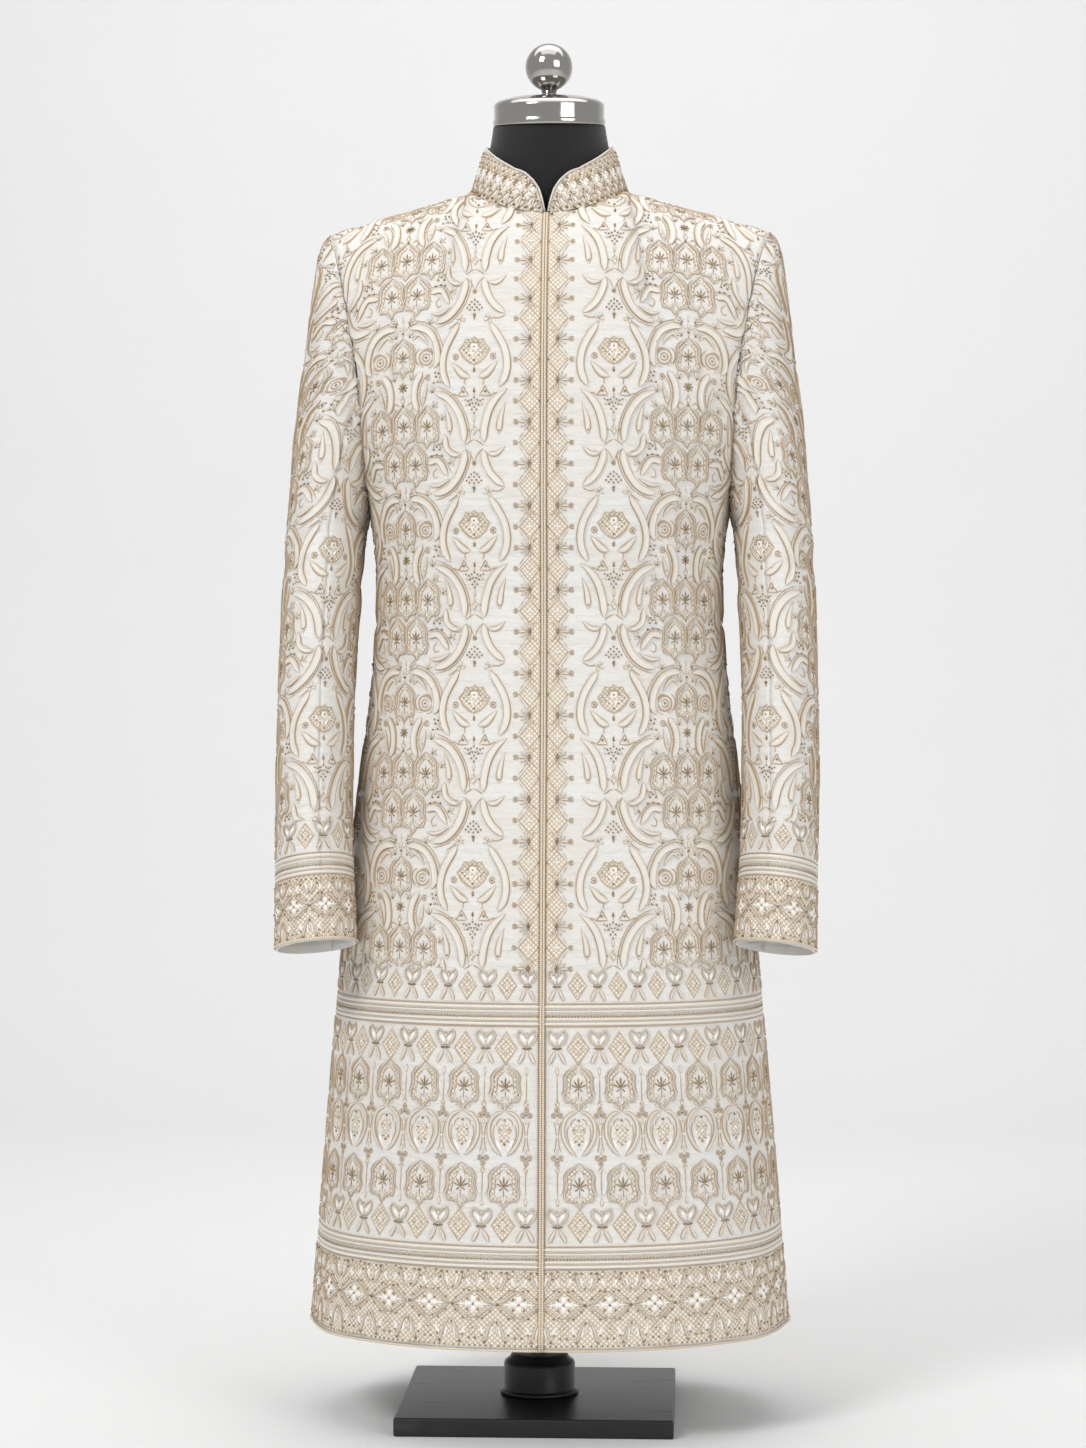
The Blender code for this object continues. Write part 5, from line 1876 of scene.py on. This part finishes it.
    def cord(self, name: str, path: Array, closed: bool, slot: str, material: bpy.types.Material) -> bpy.types.Object:
        """Lays a round cord: a circle of the cord's radius carried along a path.

        Args:
            name: The CAD node that it stands for.
            path: The points of its middle.
            closed: Whether its end joins its start.
            slot: The record's material slot.
            material: Its finish.

        Returns:
            The object.
        """
        sides = self.cord_sides
        ahead = np.roll(path, -1, 0) - np.roll(path, 1, 0) if closed else np.gradient(path, axis=0)
        slope = unit(ahead)
        level = np.array([0.0, 0.0, 1.0] if np.abs(slope[:, 2]).mean() < self.steep else [1.0, 0.0, 0.0])
        first = unit(np.cross(slope, level))
        second = np.cross(slope, first)
        a = -np.arange(sides) % sides * 2 * math.pi / sides
        circle = first[:, None] * np.cos(a)[None, :, None] + second[:, None] * np.sin(a)[None, :, None]
        rings = path[:, None] + circle * self.cord_radius
        run = np.concatenate([[0], np.cumsum(np.linalg.norm(np.diff(path, axis=0), axis=1))])
        uv = np.stack(np.broadcast_arrays(a / (2 * math.pi), run[:, None]), axis=-1).reshape(-1, 2)
        if closed:
            points, faces = rings.reshape(-1, 3), grid_faces(len(path), sides, closed=True, looped=True)
        else:
            points, faces = tube(rings, path[[0, -1]])
            uv = np.concatenate([uv, np.zeros((2, 2))])
        item = make_piece(f"{name}_cord", points, faces, slot, [material], uv)
        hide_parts(name)
        return item

    def pipings(self, charts: dict[str, Chart], gold: bpy.types.Material, ivory: bpy.types.Material) -> None:
        """Lays the pipings on the opening, the hem, the cuffs and the collar.

        Args:
            charts: The measured panels by name.
            gold: The finish of the front, hem and cuff pipings.
            ivory: The finish of the collar's piping.
        """
        lift = self.cord_radius + self.gap
        front, back = charts["coat_front"], charts["coat_back"]
        edge = front.points[:, 0] + front.normals[:, 0] * lift
        edge[:, 0] = self.cord_radius + self.gap / 2
        run = unit(edge[-2] - edge[-1])
        edge[-1] += run * 2 * self.cord_radius
        hem_front = front.points[0] + front.normals[0] * lift
        hem_back = (back.points[0] + back.normals[0] * lift)[::-1]
        hem = np.concatenate([hem_front[:-1], hem_back])
        hem[:, 2] = self.form.hem_height + self.cord_radius
        hem[0, 0], hem[-1, 0] = 2 * self.cord_radius + 2 * self.gap, self.gap
        cuff_rows = np.concatenate([
            charts["sleeve_under"].points[:2, :-1], charts["sleeve_top"].points[:2, :-1],
        ], axis=1)
        normals = np.concatenate([
            charts["sleeve_under"].normals[0, :-1], charts["sleeve_top"].normals[0, :-1],
        ])
        cuff = cuff_rows[0] + normals * lift + (cuff_rows[1] - cuff_rows[0]) * 0.2
        for side in ("left", "right"):
            turn = mirrored if side == "right" else np.array
            self.cord(f"front_piping_{side}", turn(edge), False, "gold_piping", gold)
            self.cord(f"hem_piping_{side}", turn(hem), False, "gold_piping", gold)
            self.cord(f"cuff_piping_{side}", turn(cuff), True, "gold_piping", gold)
        collar = charts["collar"]
        slope = unit(np.gradient(collar.points[-1], axis=0))
        off_edge = np.cross(collar.normals[-1], slope)
        rim = collar.points[-1] - collar.normals[-1] * self.wall / 2 + off_edge * lift
        self.cord("collar_piping", rim, False, "ivory_piping", ivory)

    def build(self) -> None:
        """Builds the cloth, the pipings and the needlework."""
        silk = SilkFinish().shared()
        # The second colour of each cord is painted shade in the grooves between its strands.
        gold = CordFinish("gold_cord", tone(240, 228, 206), tone(202, 178, 140)).make()
        ivory = CordFinish("ivory_cord", tone(243, 238, 228), tone(212, 198, 174)).make()
        sleeves = self.sleeve_charts()
        charts = {
            "coat_front": self.body_chart(Face.FRONT),
            "coat_back": self.body_chart(Face.BACK),
            "sleeve_top": sleeves["top"],
            "sleeve_under": sleeves["under"],
            "collar": self.collar_chart(),
        }
        needlework = Needlework()
        for name, chart in charts.items():
            flip = name == "coat_back"
            for side in ("left", "right") if name != "collar" else ("",):
                node = f"{name}_{side}" if side else name
                cloth = self.shell(node, chart, silk, flip)
                stitches = needlework.sew(node, name, chart, flip)
                LOG.info("%s: %d faces of cloth", node, len(cloth.data.polygons))
        self.pipings(charts, gold, ivory)


@dataclass
class DressForm:
    """The limbless form: torso, neck, cap and ball, and the stand under it.

    Attributes:
        steps: How many faces go round a turned piece.
    """

    steps: int = 80
    neck_base: tuple[float, float, float] = (0.0, 0.008, 1.1985)
    neck_tilt: float = math.radians(8)
    neck_depth_ratio: float = 0.95
    stand_x: float = -0.010
    plate_top: float = 0.018
    squareness: float = 2.2
    ball_radius: float = 0.0236
    ball_rise: float = 0.1430
    stem_radius: float = 0.0075
    stem_foot: float = 0.1176
    neck_profile: tuple[Point, ...] = (
        (0, 0.0010), (0.0668, 0.0010), (0.0668, 0.0080), (0.0632, 0.0320), (0.0604, 0.0580),
        (0.0578, 0.0720), (0.0558, 0.0850), (0, 0.0850),
    )
    cap_profile: tuple[Point, ...] = (
        (0, 0.0854), (0.0555, 0.0854), (0.0562, 0.0870), (0.0562, 0.0905), (0.0552, 0.0920),
        (0.0552, 0.1050), (0.0548, 0.1070), (0.0500, 0.1105), (0.0360, 0.1142),
        (0.0160, 0.1166), (0, 0.1172),
    )
    boss_profile: tuple[Point, ...] = (
        (0, 0.0003), (0.0390, 0.0003), (0.0390, 0.0030), (0.0385, 0.0045), (0.0355, 0.0050),
        (0.0355, 0.0300), (0.0345, 0.0325), (0.0300, 0.0355), (0.0285, 0.0385),
        (0.0240, 0.0400), (0, 0.0400),
    )
    torso: Table = Table(
        ("height", "half_width", "half_depth", "centre_y", "lean"),
        (
            (0.5000, 0.160, 0.108, 0.003, 0), (0.5060, 0.170, 0.118, 0.003, 0),
            (0.5600, 0.176, 0.123, 0.003, 0), (0.6300, 0.172, 0.118, 0.002, 0),
            (0.7200, 0.162, 0.109, 0.001, 0), (0.8150, 0.158, 0.105, 0.000, 0),
            (0.8800, 0.162, 0.109, -0.001, 0), (0.9500, 0.165, 0.110, -0.002, 0),
            (1.0200, 0.168, 0.104, -0.002, 0), (1.0750, 0.172, 0.090, -0.001, 0),
            (1.1150, 0.170, 0.072, 0.000, 0), (1.1450, 0.153, 0.056, 0.002, 0.02),
            (1.1680, 0.122, 0.052, 0.004, 0.05), (1.1860, 0.090, 0.054, 0.006, 0.10),
            (1.1980, 0.070, 0.062, 0.008, 0.1405),
        ),
    )

    def turned(
        self, node: str, profile: Sequence[Point], place: Callable[[Array], Array],
        slot: str, material: bpy.types.Material,
    ) -> bpy.types.Object:
        """Turns a profile about its axis: a circle of each radius at each height.

        Args:
            node: The CAD node that the piece stands for.
            profile: Radius and height from the foot's centre up to the top's.
            place: Puts upright points where they belong.
            slot: The record's material slot.
            material: The finish.

        Returns:
            The object.
        """
        given = np.array(profile)
        fine = [given[0]]
        for here, there in zip(given[:-1], given[1:]):
            length = float(np.linalg.norm(there - here))
            near = min(0.0005 / length, 0.3)
            shares = [0.5] if length < 0.003 else [near, 1 - near]
            fine += [here + (there - here) * share for share in shares]
        fine = np.array(fine[1:])
        a = np.arange(self.steps) * 2 * math.pi / self.steps
        circle = np.stack([np.cos(a), np.sin(a)], axis=-1)
        rings = np.concatenate([
            fine[:, None, :1] * circle[None], np.broadcast_to(fine[:, None, 1:], (len(fine), self.steps, 1)),
        ], axis=-1)
        points, faces = tube(rings, [(0, 0, given[0, 1]), (0, 0, given[-1, 1])])
        item = make_piece(f"{node}_surface", place(points), faces, slot, [material])
        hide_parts(node)
        return item

    def on_neck(self, ratio: float) -> Callable[[Array], Array]:
        """A function that leans upright points forwards on the neck's axis."""
        c, s = math.cos(self.neck_tilt), math.sin(self.neck_tilt)
        lean = np.array([[1, 0, 0], [0, c, s], [0, -s, c]])
        return lambda points: (points * np.array([1, ratio, 1])) @ lean + np.array(self.neck_base)

    def make_torso(self, material: bpy.types.Material) -> bpy.types.Object:
        """Lofts the torso: a superellipse at each height, leaning with the neck at the top."""
        given = np.array([row[0] for row in self.torso.rows])
        heights = np.unique(np.concatenate([given, np.linspace(given[0], given[-1], 44)]))
        turn = np.arange(self.steps) * 2 * math.pi / self.steps
        power = 2 / self.squareness
        x = np.sign(np.sin(turn)) * np.abs(np.sin(turn)) ** power
        y = -np.sign(np.cos(turn)) * np.abs(np.cos(turn)) ** power
        width, depth, centre, lean = (
            np.interp(heights, given, np.array(self.torso.rows)[:, column])[:, None]
            for column in range(1, 5)
        )
        z = heights[:, None] + depth * y * lean
        rings = np.stack([width * x, centre + depth * y, z], axis=-1)
        points, faces = tube(rings, rings[[0, -1]].mean(axis=1))
        item = make_piece("form_torso_surface", points, faces, "form_cover", [material])
        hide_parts("form_torso")
        return item

    def build(self) -> None:
        """Builds the form and its stand, and dresses the nodes that stay."""
        cover, chrome, steel = CoverFinish().make(), ChromeFinish().make(), SteelFinish().make()
        self.make_torso(cover)
        self.turned("form_neck", self.neck_profile, self.on_neck(self.neck_depth_ratio), "form_cover", cover)
        self.turned("neck_cap", self.cap_profile, self.on_neck(1), "polished_metal", chrome)
        stem = math.asin(self.stem_radius / self.ball_radius)
        a = np.linspace(math.pi - stem, 0, 24)
        ball = [(0, self.stem_foot), (self.stem_radius, self.stem_foot)]
        ball += [
            (self.ball_radius * math.sin(v), self.ball_rise + self.ball_radius * math.cos(v)) for v in a
        ]
        self.turned("ball_finial", ball, self.on_neck(1), "polished_metal", chrome)
        step = np.array([self.stand_x, 0, self.plate_top])
        self.turned("stand_boss", self.boss_profile, lambda points: points + step, "black_steel", steel)
        kept = {"base_plate": steel, "stand_rod": chrome, "collar_button": BeadFinish().shared()}
        for node, material in kept.items():
            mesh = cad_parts[node].data
            mesh.materials.clear()
            mesh.materials.append(material)
        LOG.info("dress form and stand built")


@dataclass(frozen=True)
class Lamp:
    """A square soft light: its name, place, aim, side in metres and power in watts."""

    name: str
    place: tuple[float, float, float]
    aim: tuple[float, float, float]
    size: float
    power: float


@dataclass
class Studio:
    """The floor, the backdrop, the lights and the camera.

    Attributes:
        distance: From the coat's axis to the camera.
        height: The camera's height, level.
        azimuth: How far the camera stands towards +X, in degrees.
        lens: The lens for a 36 mm long side.
        aim_x: Where the camera points, a little to one side of the axis.
        daylight: Strength of the even light from all round.
        lamps: The soft lights.
    """

    distance: float = 3.2
    height: float = 0.686
    azimuth: float = 2.6
    lens: float = 79.56
    aim_x: float = -0.0065
    daylight: float = 0.49
    lamps: tuple[Lamp, ...] = (
        Lamp("key", (-1.9, -2.7, 3.2), (0, 0, 0.8), 1.2, 64),
        Lamp("fill", (2.5, -2.9, 1.9), (0, 0, 0.7), 1.8, 37),
        Lamp("overhead", (0, -0.2, 3.4), (0, 0, 0), 2.2, 17),
        Lamp("backdrop", (0, 0.9, 3.2), (0, 3.2, 0.7), 2.6, 28),
    )

    def make_camera(self) -> None:
        """Sets the camera level at the photograph's angle."""
        data = bpy.data.cameras.new("view")
        data.lens, data.sensor_width, data.sensor_fit = self.lens, 36.0, "AUTO"
        camera = linked(bpy.data.objects.new("view", data))
        turn = math.radians(self.azimuth)
        camera.location = (
            self.distance * math.sin(turn), -self.distance * math.cos(turn), self.height
        )
        aim = Vector((self.aim_x, 0, self.height)) - camera.location
        camera.rotation_euler = aim.to_track_quat("-Z", "Y").to_euler()
        bpy.context.scene.camera = camera

    def make_sweep(self) -> None:
        """Makes the floor and backdrop: a flat run, a quarter circle and a wall."""
        a = np.linspace(0, math.pi / 2, 12)
        radius, reach, back, top = 1.2, 6.0, 2.2, 5.0
        profile = np.concatenate([
            [(-reach, 0.0)], np.stack([back + radius * np.sin(a), radius * (1 - np.cos(a))], 1),
            [(back + radius, top)],
        ])
        x = np.array([-6.0, 6.0])
        grid = np.stack(np.broadcast_arrays(x[None, :], profile[:, :1], profile[:, 1:]), axis=-1)
        mesh = bpy.data.meshes.new("sweep")
        mesh.from_pydata(grid.reshape(-1, 3).tolist(), [], grid_faces(len(profile), 2).tolist())
        mesh.shade_smooth()
        mesh.materials.append(StudioFinish().make())
        linked(bpy.data.objects.new("sweep", mesh))

    def make_light(self, lamp: Lamp) -> None:
        """Hangs a square soft light."""
        data = bpy.data.lights.new(lamp.name, "AREA")
        data.shape, data.size, data.energy = "SQUARE", lamp.size, lamp.power
        light = linked(bpy.data.objects.new(lamp.name, data))
        light.location = lamp.place
        light.rotation_euler = (Vector(lamp.aim) - Vector(lamp.place)).to_track_quat("-Z", "Y").to_euler()

    def build(self) -> None:
        """Builds the studio."""
        self.make_camera()
        self.make_sweep()
        for lamp in self.lamps:
            self.make_light(lamp)
        world = bpy.data.worlds.new("studio")
        world.use_nodes = True
        world.node_tree.nodes["Background"].inputs["Color"].default_value = (1.0, 1.0, 1.0, 1)
        world.node_tree.nodes["Background"].inputs["Strength"].default_value = self.daylight
        bpy.context.scene.world = world
        bpy.context.scene.view_settings.view_transform = "Standard"
        LOG.info("studio built")


def main() -> None:
    """Builds the coat on its form in the studio."""
    logging.basicConfig(level=logging.INFO, format="%(message)s")
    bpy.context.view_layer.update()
    Studio().build()
    DressForm().build()
    Coat().build()


if __name__ == "__main__":
    main()
